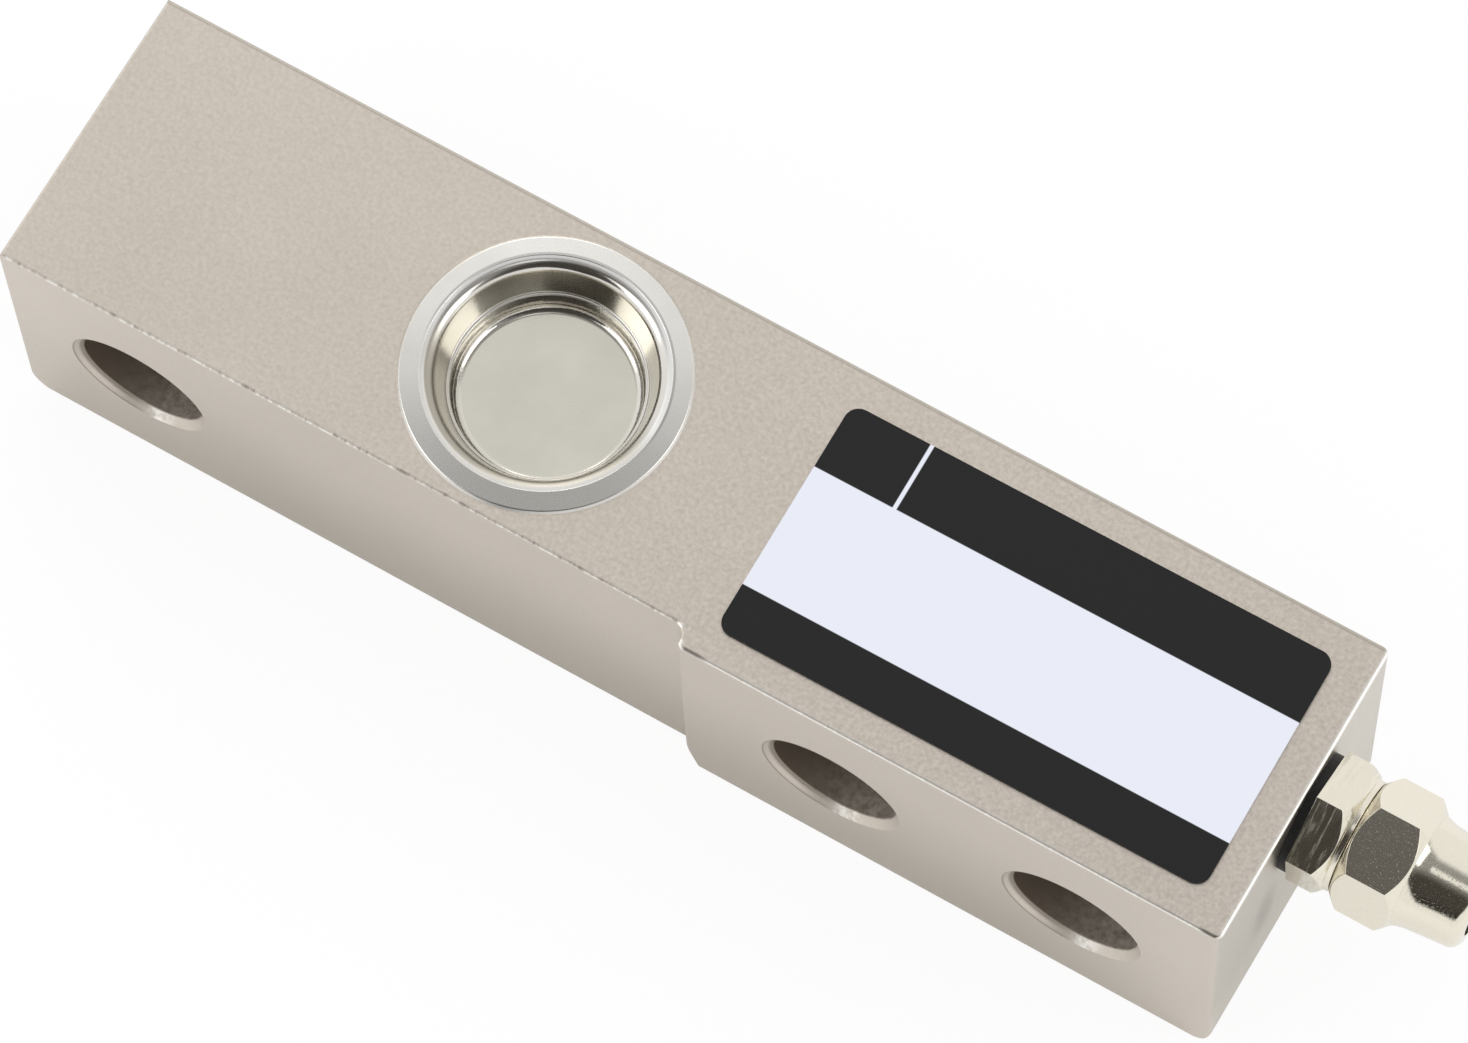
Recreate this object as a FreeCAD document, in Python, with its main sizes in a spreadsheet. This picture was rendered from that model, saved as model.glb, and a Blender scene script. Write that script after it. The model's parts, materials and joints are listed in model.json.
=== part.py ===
import FreeCAD, Part
import math
import os
import re
from collections import namedtuple

import Sketcher

# Cantilever shear beam load cell, lying on its rear side with the rating label up.
# X runs from the load end to the cable end, the mounting pad faces -Y, and the thin
# gauge web lies in the plane Z = 0. The origin is on the pad, midway between the two
# mounting holes. All sizes are in millimetres, and angles in degrees.

SIZES = {
    # beam
    "beam_length": 130.0,
    "beam_height": 31.8,
    "beam_width": 31.8,
    "pad_length": 55.7,
    "pad_relief": 2.0,
    "pad_edge_radius": 0.6,
    "heel_width": 2.9,
    "heel_height": 9.9,
    "load_hole_inset": 13.5,
    "load_arm": 76.2,
    "mount_spacing": 25.4,
    "hole_diameter": 13.0,
    "hole_chamfer": 0.8,
    "rear_corner_radius": 2.8,
    "end_edge_radius": 0.8,
    "edge_break": 0.3,
    # gauge pockets and the web between them
    "pocket_station": 50.0,
    "pocket_diameter": 22.4,
    "web_thickness": 3.0,
    "shoulder_width": 1.0,
    "wireway_diameter": 3.2,
    "wireway_wall": 0.7,
    # sealing cups
    "flange_width": 2.6,
    "flange_drop": 0.15,
    "flange_edge_radius": 0.3,
    "cup_sheet": 0.5,
    "cup_clearance": 0.2,
    "cup_lip_radius": 1.2,
    "cup_wall_narrowing": 1.35,
    "cup_wall_depth": 4.0,
    "cup_step": 0.3,
    "cup_base_narrowing": 0.6,
    "cup_base_depth": 1.8,
    "cup_floor_radius": 0.7,
    # rating label
    "label_length": 50.3,
    "label_height": 25.1,
    "label_thickness": 0.2,
    "label_corner_radius": 1.45,
    "label_end_margin": 3.75,
    "label_centre": 15.9,
    "label_tilt_angle": 0.33,
    # gauges, terminals and wires on the web
    "film_thickness": 0.1,
    "foil_thickness": 0.05,
    "film_margin": 0.1,
    "grid_line_width": 0.3,
    "grid_pitch": 0.65,
    "grid_height": 3.0,
    "grid_gap": 0.5,
    "grid_tab_gap": 1.6,
    "tab_size": 1.4,
    "tab_pitch": 2.6,
    "strip_height": 3.0,
    "strip_gap": 0.25,
    "strip_margin": 0.4,
    "lead_width": 0.3,
    "lead_thickness": 0.1,
    "lead_lap": 0.4,
    "wire_diameter": 0.4,
    "wire_pitch": 0.55,
    "wire_bend": 0.8,
    "wire_lift": 0.02,
    "wire_row_gap": 0.35,
    "web_hole_play": 0.35,
    "web_hole_gap": 1.7,
    # compensation board
    "board_thickness": 0.8,
    "board_clearance": 0.2,
    "board_headroom": 3.3,
    "board_hole_play": 0.15,
    "board_pad_height": 0.05,
    "cable_pad_reach": 8.0,
    "cable_pad_pitch": 2.0,
    "bridge_wire_gap": 0.1,
    "bridge_wire_standout": 0.4,
    "chip_length": 3.2,
    "chip_width": 1.6,
    "chip_height": 0.5,
    "chip_cap_length": 0.5,
    "chip_cap_skin": 0.03,
    "chip_column_gap": 2.8,
    "chip_row_gap": 1.0,
    "chip_rows_centre": 3.0,
    # cable gland
    "gland_thread": 8.0,
    "gland_thread_length": 6.5,
    "gland_bore_spare": 0.5,
    "thread_clearance": 0.1,
    "thread_chamfer": 0.5,
    "gasket_diameter": 11.8,
    "gasket_thickness": 0.9,
    "gland_hex": 11.7,
    "gland_hex_length": 3.7,
    "gland_turn_angle": 5.0,
    "hex_chamfer": 0.2,
    "collar_diameter": 11.2,
    "collar_length": 0.55,
    "neck_thread": 9.4,
    "neck_wall": 0.8,
    "neck_length": 6.45,
    "cable_bore": 5.6,
    "seal_grip": 0.2,
    "seal_seat_depth": 4.5,
    "seal_standout": 0.5,
    "seal_clearance": 0.1,
    "washer_play": 0.3,
    "washer_thickness": 0.5,
    "cap_gap": 0.1,
    "cap_hex_length": 6.2,
    "cap_turn_angle": -12.0,
    "nose_length": 6.4,
    "nose_root_diameter": 11.2,
    "nose_tip_diameter": 9.6,
    "nose_radius": 1.3,
    "mouth_diameter": 6.4,
}

GRID_LINES = 5

# Lengths that follow from the sizes, as formulas in their names.
FORMULAS = {
    "load_end": "-(load_hole_inset + load_arm + mount_spacing / 2)",
    "cable_end": "load_end + beam_length",
    "pad_start": "cable_end - pad_length",
    "half_width": "beam_width / 2",
    "half_web": "web_thickness / 2",
    "free_centre": "(beam_height + pad_relief) / 2",
    "pocket_centre": "load_end + pocket_station",
    "web_bore": "pocket_diameter - 2 * shoulder_width",
    "flange_radius": "pocket_diameter / 2 + flange_width",
    "lip_radius": "pocket_diameter / 2 - cup_clearance - cup_sheet",
    "lip_back_radius": "cup_lip_radius - cup_sheet",
    "neck_radius": "lip_radius - cup_wall_narrowing",
    "floor_radius": "neck_radius - cup_step - cup_base_narrowing",
    "cup_depth": "cup_wall_depth + cup_base_depth",
    "gauge_reach": f"grid_gap + {GRID_LINES - 1} * grid_pitch + grid_line_width + grid_height",
    "gauge_length": "2 * (gauge_reach + film_margin)",
    "gauge_height": "grid_gap + grid_height + grid_tab_gap + tab_size",
    "foil_level": "half_web + film_thickness + foil_thickness",
    "strip_length": "2 * (tab_pitch + strip_margin) + tab_size",
    "strip_drop": "(gauge_height + strip_height) / 2 + strip_gap",
    "strip_pad_height": "strip_height - 2 * strip_margin",
    "lead_drop": "strip_drop - strip_pad_height / 2 + lead_lap",
    "lead_length": "lead_drop - (gauge_height - tab_size) / 2",
    "wire_level": "foil_level + wire_diameter / 2 + wire_lift",
    "wire_row_drop": "lead_drop + wire_row_gap + wire_pitch + wire_diameter / 2",
    "web_hole_diameter": "2 * (wire_pitch + web_hole_play) + wire_diameter",
    "web_hole_reach": "(strip_length + web_hole_diameter) / 2 + web_hole_gap",
    "bridge_wire_shift": "(lead_width + wire_diameter) / 2 + bridge_wire_gap",
    "board_top": "half_width - cup_depth - board_headroom",
    "shoulder_level": "board_top - board_thickness",
    "chip_column": "(chip_length + chip_column_gap) / 2",
    "chip_row": "(chip_width + chip_row_gap) / 2",
    "gland_offset": "(hole_diameter + wireway_diameter) / 2 + wireway_wall",
    "stub_start": "gasket_thickness - gland_thread_length",
    "gland_bore_depth": "gland_bore_spare - stub_start",
    "hex_end": "gasket_thickness + gland_hex_length",
    "hex_corner_radius": "gland_hex / sqrt(3)",
    "collar_end": "hex_end + collar_length",
    "neck_end": "collar_end + neck_length",
    "seal_seat": "neck_end - seal_seat_depth",
    "seal_end": "neck_end + seal_standout",
    "seal_seat_diameter": "neck_thread - 2 * neck_wall",
    "seal_diameter": "seal_seat_diameter - 2 * seal_clearance",
    "seal_bore": "cable_bore - 2 * seal_grip",
    "washer_end": "seal_end + washer_thickness",
    "washer_diameter": "neck_thread - 2 * washer_play",
    "cap_start": "collar_end + cap_gap",
    "cap_hex_end": "cap_start + cap_hex_length",
    "nose_end": "cap_hex_end + nose_length",
}

X_AXIS = FreeCAD.Vector(1, 0, 0)
Y_AXIS = FreeCAD.Vector(0, 1, 0)
Z_AXIS = FreeCAD.Vector(0, 0, 1)
QUARTER_TURN, HALF_TURN, FULL_TURN = 90, 180, 360
HEX_SIDES = 6

# Point numbers of a sketch's geometry, and the index of the sketch's own origin.
START, END, CENTRE = 1, 2, 3
SKETCH_ORIGIN = -1

Side = namedtuple("Side", "name sign turn")
FRONT, REAR = Side("front", "", 0), Side("rear", "-", HALF_TURN)

TERMINALS = (-1, 0, 1)
CABLE_PADS = (-1.5, -0.5, 0.5, 1.5)
CHIP_SEATS = {
    "span_set_resistor": ("-", "-"),
    "zero_balance_resistor": ("", "-"),
    "supply_modulus_resistor": ("-", ""),
    "return_modulus_resistor": ("", ""),
}

doc = FreeCAD.newDocument("shear_beam_load_cell")
sheet = doc.addObject("Spreadsheet::Sheet", "Sizes")


# Sizes and places


def fill_sheet():
    """Write every driving size into the sheet under its own alias."""
    for row, (name, value) in enumerate(SIZES.items(), start=1):
        sheet.set(f"A{row}", name)
        sheet.set(f"B{row}", str(value))
        sheet.setAlias(f"B{row}", name)
    doc.recompute()


def bound(formula):
    """Expression on the sheet's cells for a formula in the names of sizes."""
    def cell(match):
        name = match.group(0)
        if name in FORMULAS:
            return f"({bound(FORMULAS[name])})"
        return f"Sizes.{name}" if name in SIZES else name
    return re.sub(r"[a-z_]+", cell, formula)


def amount(formula):
    """Present value of a formula."""
    return float(sheet.evalExpression(bound(formula)))


def set_size(item, path, formula):
    """Bind one property of a document object to a formula."""
    item.setExpression(path, bound(formula))


def place(item, x, y, z, axis=Z_AXIS, turn=0):
    """Turn an object about an axis, and bind its position to formulas."""
    item.Placement = FreeCAD.Placement(FreeCAD.Vector(), FreeCAD.Rotation(axis, turn))
    for letter, formula in zip("xyz", (x, y, z)):
        set_size(item, f"Placement.Base.{letter}", formula)


def place_on_side(item, side, y, level):
    """Put an object over the gauge pocket's axis, on the front or turned over on the rear."""
    place(item, "pocket_centre", y, f"{side.sign}({level})", Y_AXIS, side.turn)


def place_on_gland(item):
    """Put an object on the gland's axis, measured from the face of the cable end."""
    place(item, "cable_end", "free_centre", "gland_offset")


def group(label, items):
    """One sub-part made of several like pieces."""
    compound = doc.addObject("Part::Compound", label)
    compound.Links = items
    return compound


# Sketches


def new_body(label):
    """Empty body for one sub-part."""
    return doc.addObject("PartDesign::Body", label)


def new_sketch(body, name, role, lift="0"):
    """Sketch on one of the body's origin planes, moved along its normal by a formula."""
    sketch = body.newObject("Sketcher::SketchObject", name)
    plane = next(feature for feature in body.Origin.OriginFeatures if feature.Role == role)
    sketch.AttachmentSupport = [(plane, "")]
    sketch.MapMode = "FlatFace"
    set_size(sketch, "AttachmentOffset.Base.z", lift)
    return sketch


def at(x, y):
    """Point of a sketch at two formulas."""
    return FreeCAD.Vector(amount(x), amount(y), 0)


def constrain(sketch, formula, kind, *points):
    """Add a dimension whose value is a formula."""
    index = sketch.addConstraint(Sketcher.Constraint(kind, *points, amount(formula)))
    set_size(sketch, f"Constraints[{index}]", formula)


def pin(sketch, geometry, point, x, y):
    """Hold one point of the sketch at the formulas x and y."""
    constrain(sketch, x, "DistanceX", SKETCH_ORIGIN, START, geometry, point)
    constrain(sketch, y, "DistanceY", SKETCH_ORIGIN, START, geometry, point)


def add_side(sketch, start, end, arc):
    """Line, or short arc about a centre; gives its index and the numbers of its two ends."""
    if arc is None:
        return sketch.addGeometry(Part.LineSegment(at(*start), at(*end))), START, END
    x, y, radius = arc
    centre = at(x, y)
    first, last = at(*start) - centre, at(*end) - centre
    forward = first.cross(last).z > 0
    if not forward:
        first, last = last, first
    circle = Part.Circle(centre, Z_AXIS, amount(radius))
    angles = [math.atan2(point.y, point.x) for point in (first, last)]
    geometry = sketch.addGeometry(Part.ArcOfCircle(circle, *angles))
    constrain(sketch, radius, "Radius", geometry)
    return (geometry, START, END) if forward else (geometry, END, START)


def add_path(sketch, corners, arcs=None, closed=True):
    """Run of lines through corners given by formulas; a side with an arc turns about its centre."""
    arcs = arcs or {}
    ends = corners[1:] + (corners[:1] if closed else [])
    sides = [add_side(sketch, start, end, arcs.get(index))
             for index, (start, end) in enumerate(zip(corners, ends))]
    for index, (geometry, start, end) in enumerate(sides):
        pin(sketch, geometry, start, *corners[index])
        if closed or index + 1 < len(sides):
            after, after_start, _ = sides[(index + 1) % len(sides)]
            sketch.addConstraint(Sketcher.Constraint("Coincident", geometry, end, after, after_start))
        else:
            pin(sketch, geometry, end, *corners[-1])


def add_rectangle(sketch, x, y, length, height):
    """Rectangle about a centre."""
    left, right = f"{x} - ({length}) / 2", f"{x} + ({length}) / 2"
    low, high = f"{y} - ({height}) / 2", f"{y} + ({height}) / 2"
    add_path(sketch, [(left, low), (right, low), (right, high), (left, high)])


def add_circle(sketch, x, y, diameter):
    """Circle about a centre."""
    geometry = sketch.addGeometry(Part.Circle(at(x, y), Z_AXIS, amount(diameter) / 2))
    pin(sketch, geometry, CENTRE, x, y)
    constrain(sketch, diameter, "Diameter", geometry)


def add_hexagon(sketch, turn):
    """Hexagon about the sketch's origin, with its first corner turned from the vertical axis."""
    angles = [f"(({index * FULL_TURN / HEX_SIDES} + {turn}) * 1 deg)" for index in range(HEX_SIDES)]
    add_path(sketch, [(f"-hex_corner_radius * sin{angle}", f"hex_corner_radius * cos{angle}")
                      for angle in angles])


# Features


def add_pad(body, sketch, length, symmetric=False):
    """Raise a sketch into a solid, on one side of its plane or evenly on both."""
    pad = body.newObject("PartDesign::Pad", f"{sketch.Name}_pad")
    pad.Profile = sketch
    pad.SideType = "Symmetric" if symmetric else "One side"
    set_size(pad, "Length", length)
    doc.recompute()


def add_turned(body, sketch, axis):
    """Revolve a sketch into a solid about one of its own axes."""
    turned = body.newObject("PartDesign::Revolution", f"{sketch.Name}_turned")
    turned.Profile = sketch
    turned.ReferenceAxis = (sketch, [axis])
    doc.recompute()


def finish_cut(body, feature, before):
    """Recompute a cut and make sure that it took material away."""
    doc.recompute()
    if body.Shape.Volume >= before:
        raise RuntimeError(f"{feature.Name} cuts nothing")


def cut_pocket(body, sketch, depth, along_normal):
    """Cut a sketch into the body to a depth, along the normal of its plane or against it."""
    before = body.Shape.Volume
    pocket = body.newObject("PartDesign::Pocket", f"{sketch.Name}_cut")
    pocket.Profile = sketch
    pocket.Reversed = along_normal
    set_size(pocket, "Length", depth)
    finish_cut(body, pocket, before)


def cut_through(body, sketch):
    """Cut a sketch right through the body, on both sides of its plane."""
    before = body.Shape.Volume
    pocket = body.newObject("PartDesign::Pocket", f"{sketch.Name}_cut")
    pocket.Profile = sketch
    pocket.Type = "ThroughAll"
    pocket.SideType = "Symmetric"
    finish_cut(body, pocket, before)


def cut_turned(body, sketch, axis):
    """Cut a revolved sketch out of the body."""
    before = body.Shape.Volume
    groove = body.newObject("PartDesign::Groove", f"{sketch.Name}_groove")
    groove.Profile = sketch
    groove.ReferenceAxis = (sketch, [axis])
    finish_cut(body, groove, before)


def dress_edges(body, kind, name, formula, wanted):
    """Round or chamfer the edges of the body that pass a test."""
    base = body.Tip
    names = [f"Edge{index}" for index, edge in enumerate(base.Shape.Edges, start=1) if wanted(edge)]
    if not names:
        raise RuntimeError(f"{name} finds no edges")
    feature = body.newObject(f"PartDesign::{kind}", name)
    feature.Base = (base, names)
    set_size(feature, "Radius" if kind == "Fillet" else "Size", formula)
    doc.recompute()


def near(value, formula):
    """Whether a measure equals a formula."""
    return math.isclose(value, amount(formula), abs_tol=1e-4)


def lies_at(edge, axis, formula):
    """Whether an edge lies wholly in one plane across an axis."""
    low, high = getattr(edge.BoundBox, f"{axis}Min"), getattr(edge.BoundBox, f"{axis}Max")
    return near(low, formula) and near(high, formula)


def is_circle(edge, diameter):
    """Whether an edge is a full circle of a diameter."""
    return edge.Closed and isinstance(edge.Curve, Part.Circle) and near(2 * edge.Curve.Radius, diameter)


# Beam


def make_beam():
    """Milled beam: pad and relieved free end, three cross holes, two gauge pockets, cable entry."""
    body = new_body("beam_body")
    outline = new_sketch(body, "beam_outline", "XY_Plane")
    inset = "cable_end - end_edge_radius"
    top_inset = "beam_height - end_edge_radius"
    relief_end = "pad_start - pad_relief"
    add_path(outline,
             [("load_end", "beam_height"), ("load_end", "pad_relief"), (relief_end, "pad_relief"),
              ("pad_start - pad_edge_radius", "pad_edge_radius"), ("pad_start", "0"), (inset, "0"),
              ("cable_end", "end_edge_radius"), ("cable_end", top_inset), (inset, "beam_height")],
             {2: (relief_end, "pad_edge_radius", "pad_relief - pad_edge_radius"),
              3: ("pad_start", "pad_edge_radius", "pad_edge_radius"),
              5: (inset, "end_edge_radius", "end_edge_radius"),
              7: (inset, top_inset, "end_edge_radius")})
    add_pad(body, outline, "beam_width", symmetric=True)
    for side in (FRONT, REAR):
        dress_edges(body, "Fillet", f"{side.name}_edges", "edge_break",
                    lambda edge: lies_at(edge, "Z", f"{side.sign}half_width"))
    cut_rear_corners(body)
    cut_heel(body, relief_end)
    cut_cross_holes(body)
    for side in (FRONT, REAR):
        cut_gauge_pocket(body, side)
    cut_wire_ways(body)
    return body


def cut_rear_corners(body):
    """Round the rear edge of both ends."""
    corners = new_sketch(body, "rear_corners", "XZ_Plane")
    rise = "rear_corner_radius - half_width"
    for end, inset in (("load_end", "load_end + rear_corner_radius"),
                       ("cable_end", "cable_end - rear_corner_radius")):
        add_path(corners, [(end, "-half_width"), (inset, "-half_width"), (end, rise)],
                 {1: (inset, rise, "rear_corner_radius")})
    cut_through(body, corners)


def cut_heel(body, relief_end):
    """Take the rear corner off the pad's step."""
    heel = new_sketch(body, "pad_heel", "XZ_Plane")
    add_path(heel, [(relief_end, "-half_width"), (f"{relief_end} + heel_width", "-half_width"),
                    (relief_end, "heel_height - half_width")])
    cut_pocket(body, heel, "pad_relief", along_normal=False)


def cut_cross_holes(body):
    """Load hole and two mounting holes, chamfered at both mouths."""
    holes = new_sketch(body, "cross_holes", "XZ_Plane")
    for station in ("load_end + load_hole_inset", "-mount_spacing / 2", "mount_spacing / 2"):
        add_circle(holes, station, "0", "hole_diameter")
    cut_through(body, holes)
    dress_edges(body, "Chamfer", "hole_mouths", "hole_chamfer",
                lambda edge: is_circle(edge, "hole_diameter"))


def cut_gauge_pocket(body, side):
    """Bore down to the shoulder and narrower bore down to the web.

    The mouth of the bore is chamfered, to leave room for the round at the back of the cup's lip.
    """
    steps = (("cup_bore", "pocket_diameter", "shoulder_level"),
             ("web_bore", "web_bore", "half_web"))
    for name, diameter, level in steps:
        bore = new_sketch(body, f"{side.name}_{name}", "XY_Plane", f"{side.sign}({level})")
        add_circle(bore, "pocket_centre", "free_centre", diameter)
        cut_pocket(body, bore, f"half_width - ({level})", along_normal=side is FRONT)
    dress_edges(body, "Chamfer", f"{side.name}_cup_bore_mouth", "lip_back_radius",
                lambda edge: is_circle(edge, "pocket_diameter")
                and lies_at(edge, "Z", f"{side.sign}half_width"))


def cut_wire_ways(body):
    """Gland bore in the cable end, the way on to the front pocket, and the hole in the web."""
    bores = (("gland_bore", "cable_end - gland_bore_depth", "gland_thread + 2 * thread_clearance",
              "gland_bore_depth"),
             ("wireway", "pocket_centre", "wireway_diameter",
              "cable_end - gland_bore_depth - pocket_centre"))
    for name, start, diameter, depth in bores:
        bore = new_sketch(body, name, "YZ_Plane", start)
        add_circle(bore, "free_centre", "gland_offset", diameter)
        cut_pocket(body, bore, depth, along_normal=True)
    hole = new_sketch(body, "web_hole", "XY_Plane")
    add_circle(hole, "pocket_centre + web_hole_reach", "free_centre - wire_row_drop", "web_hole_diameter")
    cut_through(body, hole)


# Sealing cups


def make_seal_cup(side):
    """Drawn sheet cup: flange on the beam's side, rounded lip, tapered wall with a small step, flat floor."""
    body = new_body(f"{side.name}_seal_cup")
    section = new_sketch(body, f"{side.name}_cup_section", "XZ_Plane")
    under = "-(cup_depth + cup_sheet)"
    add_path(section, [("0", "-cup_depth"), ("floor_radius", "-cup_depth"),
                       ("neck_radius - cup_step", "-cup_wall_depth"), ("neck_radius", "-cup_wall_depth"),
                       ("lip_radius", "0"), ("flange_radius", "-flange_drop"),
                       ("flange_radius", "-cup_sheet"), ("lip_radius + cup_sheet", "-cup_sheet"),
                       ("neck_radius + cup_sheet", "-cup_wall_depth"),
                       ("floor_radius + cup_sheet", under), ("0", under)])
    add_turned(body, section, "V_Axis")
    rounds = (("flange_edge", "flange_edge_radius", "flange_radius", "-flange_drop"),
              ("lip", "cup_lip_radius", "lip_radius", "0"),
              ("lip_back", "lip_back_radius", "lip_radius + cup_sheet", "-cup_sheet"),
              ("floor_corner", "cup_floor_radius", "floor_radius", "-cup_depth"),
              ("floor_back", "cup_floor_radius + cup_sheet", "floor_radius + cup_sheet", under))
    for name, size, radius, level in rounds:
        dress_edges(body, "Fillet", f"{side.name}_cup_{name}", size,
                    lambda edge: is_circle(edge, f"2 * ({radius})") and lies_at(edge, "Z", level))
    place_on_side(body, side, "free_centre", "half_width + cup_sheet")
    return body


# Rating label


def make_label():
    """Printed film with rounded corners, stuck slightly askew on the mounting end."""
    body = new_body("rating_label")
    outline = new_sketch(body, "label_outline", "XY_Plane")
    add_rectangle(outline, "0", "0", "label_length", "label_height")
    add_pad(body, outline, "label_thickness")
    dress_edges(body, "Fillet", "label_corners", "label_corner_radius",
                lambda edge: near(edge.BoundBox.ZLength, "label_thickness"))
    place(body, "cable_end - label_end_margin - label_length / 2", "label_centre", "half_width",
          Z_AXIS, amount("label_tilt_angle"))
    set_size(body, "Placement.Rotation.Angle", "label_tilt_angle")
    return body


# Gauges, terminals and wires on the web


def make_strain_gauge(side):
    """Shear rosette: film carrier with two foil grids at 45 degrees and three solder tabs."""
    body = new_body(f"{side.name}_strain_gauge")
    film = new_sketch(body, f"{side.name}_gauge_film", "XY_Plane")
    add_rectangle(film, "0", "0", "gauge_length", "gauge_height")
    add_pad(body, film, "film_thickness")
    foil = new_sketch(body, f"{side.name}_gauge_foil", "XY_Plane", "film_thickness")
    top = "gauge_height / 2 - grid_gap"
    for sign in ("-", ""):
        for line in range(GRID_LINES):
            start = f"grid_gap + {line} * grid_pitch"
            add_path(foil, [(f"{sign}({start})", f"{top} - grid_height"),
                            (f"{sign}({start} + grid_line_width)", f"{top} - grid_height"),
                            (f"{sign}({start} + grid_line_width + grid_height)", top),
                            (f"{sign}({start} + grid_height)", top)])
    for number in TERMINALS:
        add_rectangle(foil, f"{number} * tab_pitch", "(tab_size - gauge_height) / 2", "tab_size", "tab_size")
    add_pad(body, foil, "foil_thickness")
    place_on_side(body, side, "free_centre", "half_web")
    return body


def make_terminal_strip(side):
    """Bondable film with three solder pads."""
    body = new_body(f"{side.name}_terminal_strip")
    film = new_sketch(body, f"{side.name}_strip_film", "XY_Plane")
    add_rectangle(film, "0", "0", "strip_length", "strip_height")
    add_pad(body, film, "film_thickness")
    pads = new_sketch(body, f"{side.name}_strip_pads", "XY_Plane", "film_thickness")
    for number in TERMINALS:
        add_rectangle(pads, f"{number} * tab_pitch", "0", "tab_size", "strip_pad_height")
    add_pad(body, pads, "foil_thickness")
    place_on_side(body, side, "free_centre - strip_drop", "half_web")
    return body


def make_gauge_leads(side):
    """Three flat leads, each lying on a gauge tab and on the near end of a solder pad."""
    level = "foil_level" if side is FRONT else "-(foil_level + lead_thickness)"
    leads = []
    for number in TERMINALS:
        lead = doc.addObject("Part::Box", f"{side.name}_gauge_lead")
        set_size(lead, "Length", "lead_width")
        set_size(lead, "Width", "lead_length")
        set_size(lead, "Height", "lead_thickness")
        place(lead, f"pocket_centre + {number} * tab_pitch - lead_width / 2",
              "free_centre - lead_drop", level)
        leads.append(lead)
    return group(f"{side.name}_gauge_leads", leads)


def make_crossover_wires():
    """Three U-shaped wires, from the front solder pads through the web hole to the rear pads."""
    leg = "pocket_centre + web_hole_reach"
    bend_start, bend_end = f"{leg} - wire_bend", "wire_level - wire_bend"
    wires = []
    for number in TERMINALS:
        start = f"pocket_centre + {number} * tab_pitch"
        row = f"free_centre - wire_row_drop + {number} * wire_pitch"
        path = doc.addObject("Sketcher::SketchObject", "crossover_path")
        add_path(path,
                 [(start, "wire_level"), (bend_start, "wire_level"), (leg, bend_end),
                  (leg, f"-({bend_end})"), (bend_start, "-wire_level"), (start, "-wire_level")],
                 {1: (bend_start, bend_end, "wire_bend"), 3: (bend_start, f"-({bend_end})", "wire_bend")},
                 closed=False)
        place(path, "0", row, "0", X_AXIS, QUARTER_TURN)
        section = doc.addObject("Part::Circle", "crossover_section")
        set_size(section, "Radius", "wire_diameter / 2")
        place(section, start, row, "wire_level", Y_AXIS, QUARTER_TURN)
        doc.recompute()
        wire = doc.addObject("Part::Sweep", "crossover_wire")
        wire.Sections = [section]
        wire.Spine = (path, [f"Edge{index + 1}" for index in range(len(path.Shape.Edges))])
        wire.Solid = True
        wires.append(wire)
    return group("crossover_wires", wires)


# Compensation board


def make_board():
    """Round board on the pocket's shoulder, with wire holes and four raised cable pads."""
    body = new_body("compensation_board")
    disc = new_sketch(body, "board_disc", "XY_Plane")
    add_circle(disc, "0", "0", "pocket_diameter - 2 * board_clearance")
    add_pad(body, disc, "board_thickness")
    pads = new_sketch(body, "cable_pads", "XY_Plane", "board_thickness")
    for row in CABLE_PADS:
        add_rectangle(pads, "cable_pad_reach", f"{row} * cable_pad_pitch", "tab_size", "tab_size")
    add_pad(body, pads, "board_pad_height")
    holes = new_sketch(body, "wire_holes", "XY_Plane")
    for number in TERMINALS:
        add_circle(holes, f"{number} * tab_pitch - bridge_wire_shift", "-lead_drop",
                   "wire_diameter + 2 * board_hole_play")
    cut_through(body, holes)
    place(body, "pocket_centre", "free_centre", "shoulder_level")
    return body


def make_bridge_wires():
    """Three wires that stand on the front solder pads and pass through the board."""
    wires = []
    for number in TERMINALS:
        wire = doc.addObject("Part::Cylinder", "bridge_wire")
        set_size(wire, "Radius", "wire_diameter / 2")
        set_size(wire, "Height", "board_top + bridge_wire_standout - foil_level")
        place(wire, f"pocket_centre + {number} * tab_pitch - bridge_wire_shift",
              "free_centre - lead_drop", "foil_level")
        wires.append(wire)
    return group("bridge_wires", wires)


def make_chip_resistor(label, column_sign, row_sign):
    """Chip resistor on the board: a ceramic block in two thin end caps."""
    body = new_body(label)
    block = new_sketch(body, f"{label}_block", "XY_Plane", "chip_cap_skin")
    add_rectangle(block, "0", "0", "chip_length", "chip_width")
    add_pad(body, block, "chip_height")
    caps = new_sketch(body, f"{label}_caps", "XY_Plane")
    for sign in ("-", ""):
        add_rectangle(caps, f"{sign}(chip_length - chip_cap_length) / 2", "0",
                      "chip_cap_length", "chip_width + 2 * chip_cap_skin")
    add_pad(body, caps, "chip_height + 2 * chip_cap_skin")
    place(body, f"pocket_centre + ({column_sign}chip_column)",
          f"free_centre + chip_rows_centre + ({row_sign}chip_row)", "board_top")
    return body


# Cable gland, modelled along X from the face of the cable end


def make_gasket():
    """Flat sealing ring between the beam and the gland body."""
    body = new_body("gland_gasket")
    ring = new_sketch(body, "gasket_ring", "YZ_Plane")
    add_circle(ring, "0", "0", "gasket_diameter")
    add_circle(ring, "0", "0", "gland_thread + 2 * thread_clearance")
    add_pad(body, ring, "gasket_thickness")
    place_on_gland(body)
    return body


def chamfer_hexagon(body, name, face, sign):
    """Turn the corners off a hexagon's end face, to a 45 degree cone."""
    cone = new_sketch(body, name, "XY_Plane")
    inner, outer = "gland_hex / 2 - hex_chamfer", "hex_corner_radius + hex_chamfer"
    add_path(cone, [(face, inner), (face, outer), (f"{face} {sign} (({outer}) - ({inner}))", outer)])
    cut_turned(body, cone, "H_Axis")


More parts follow.
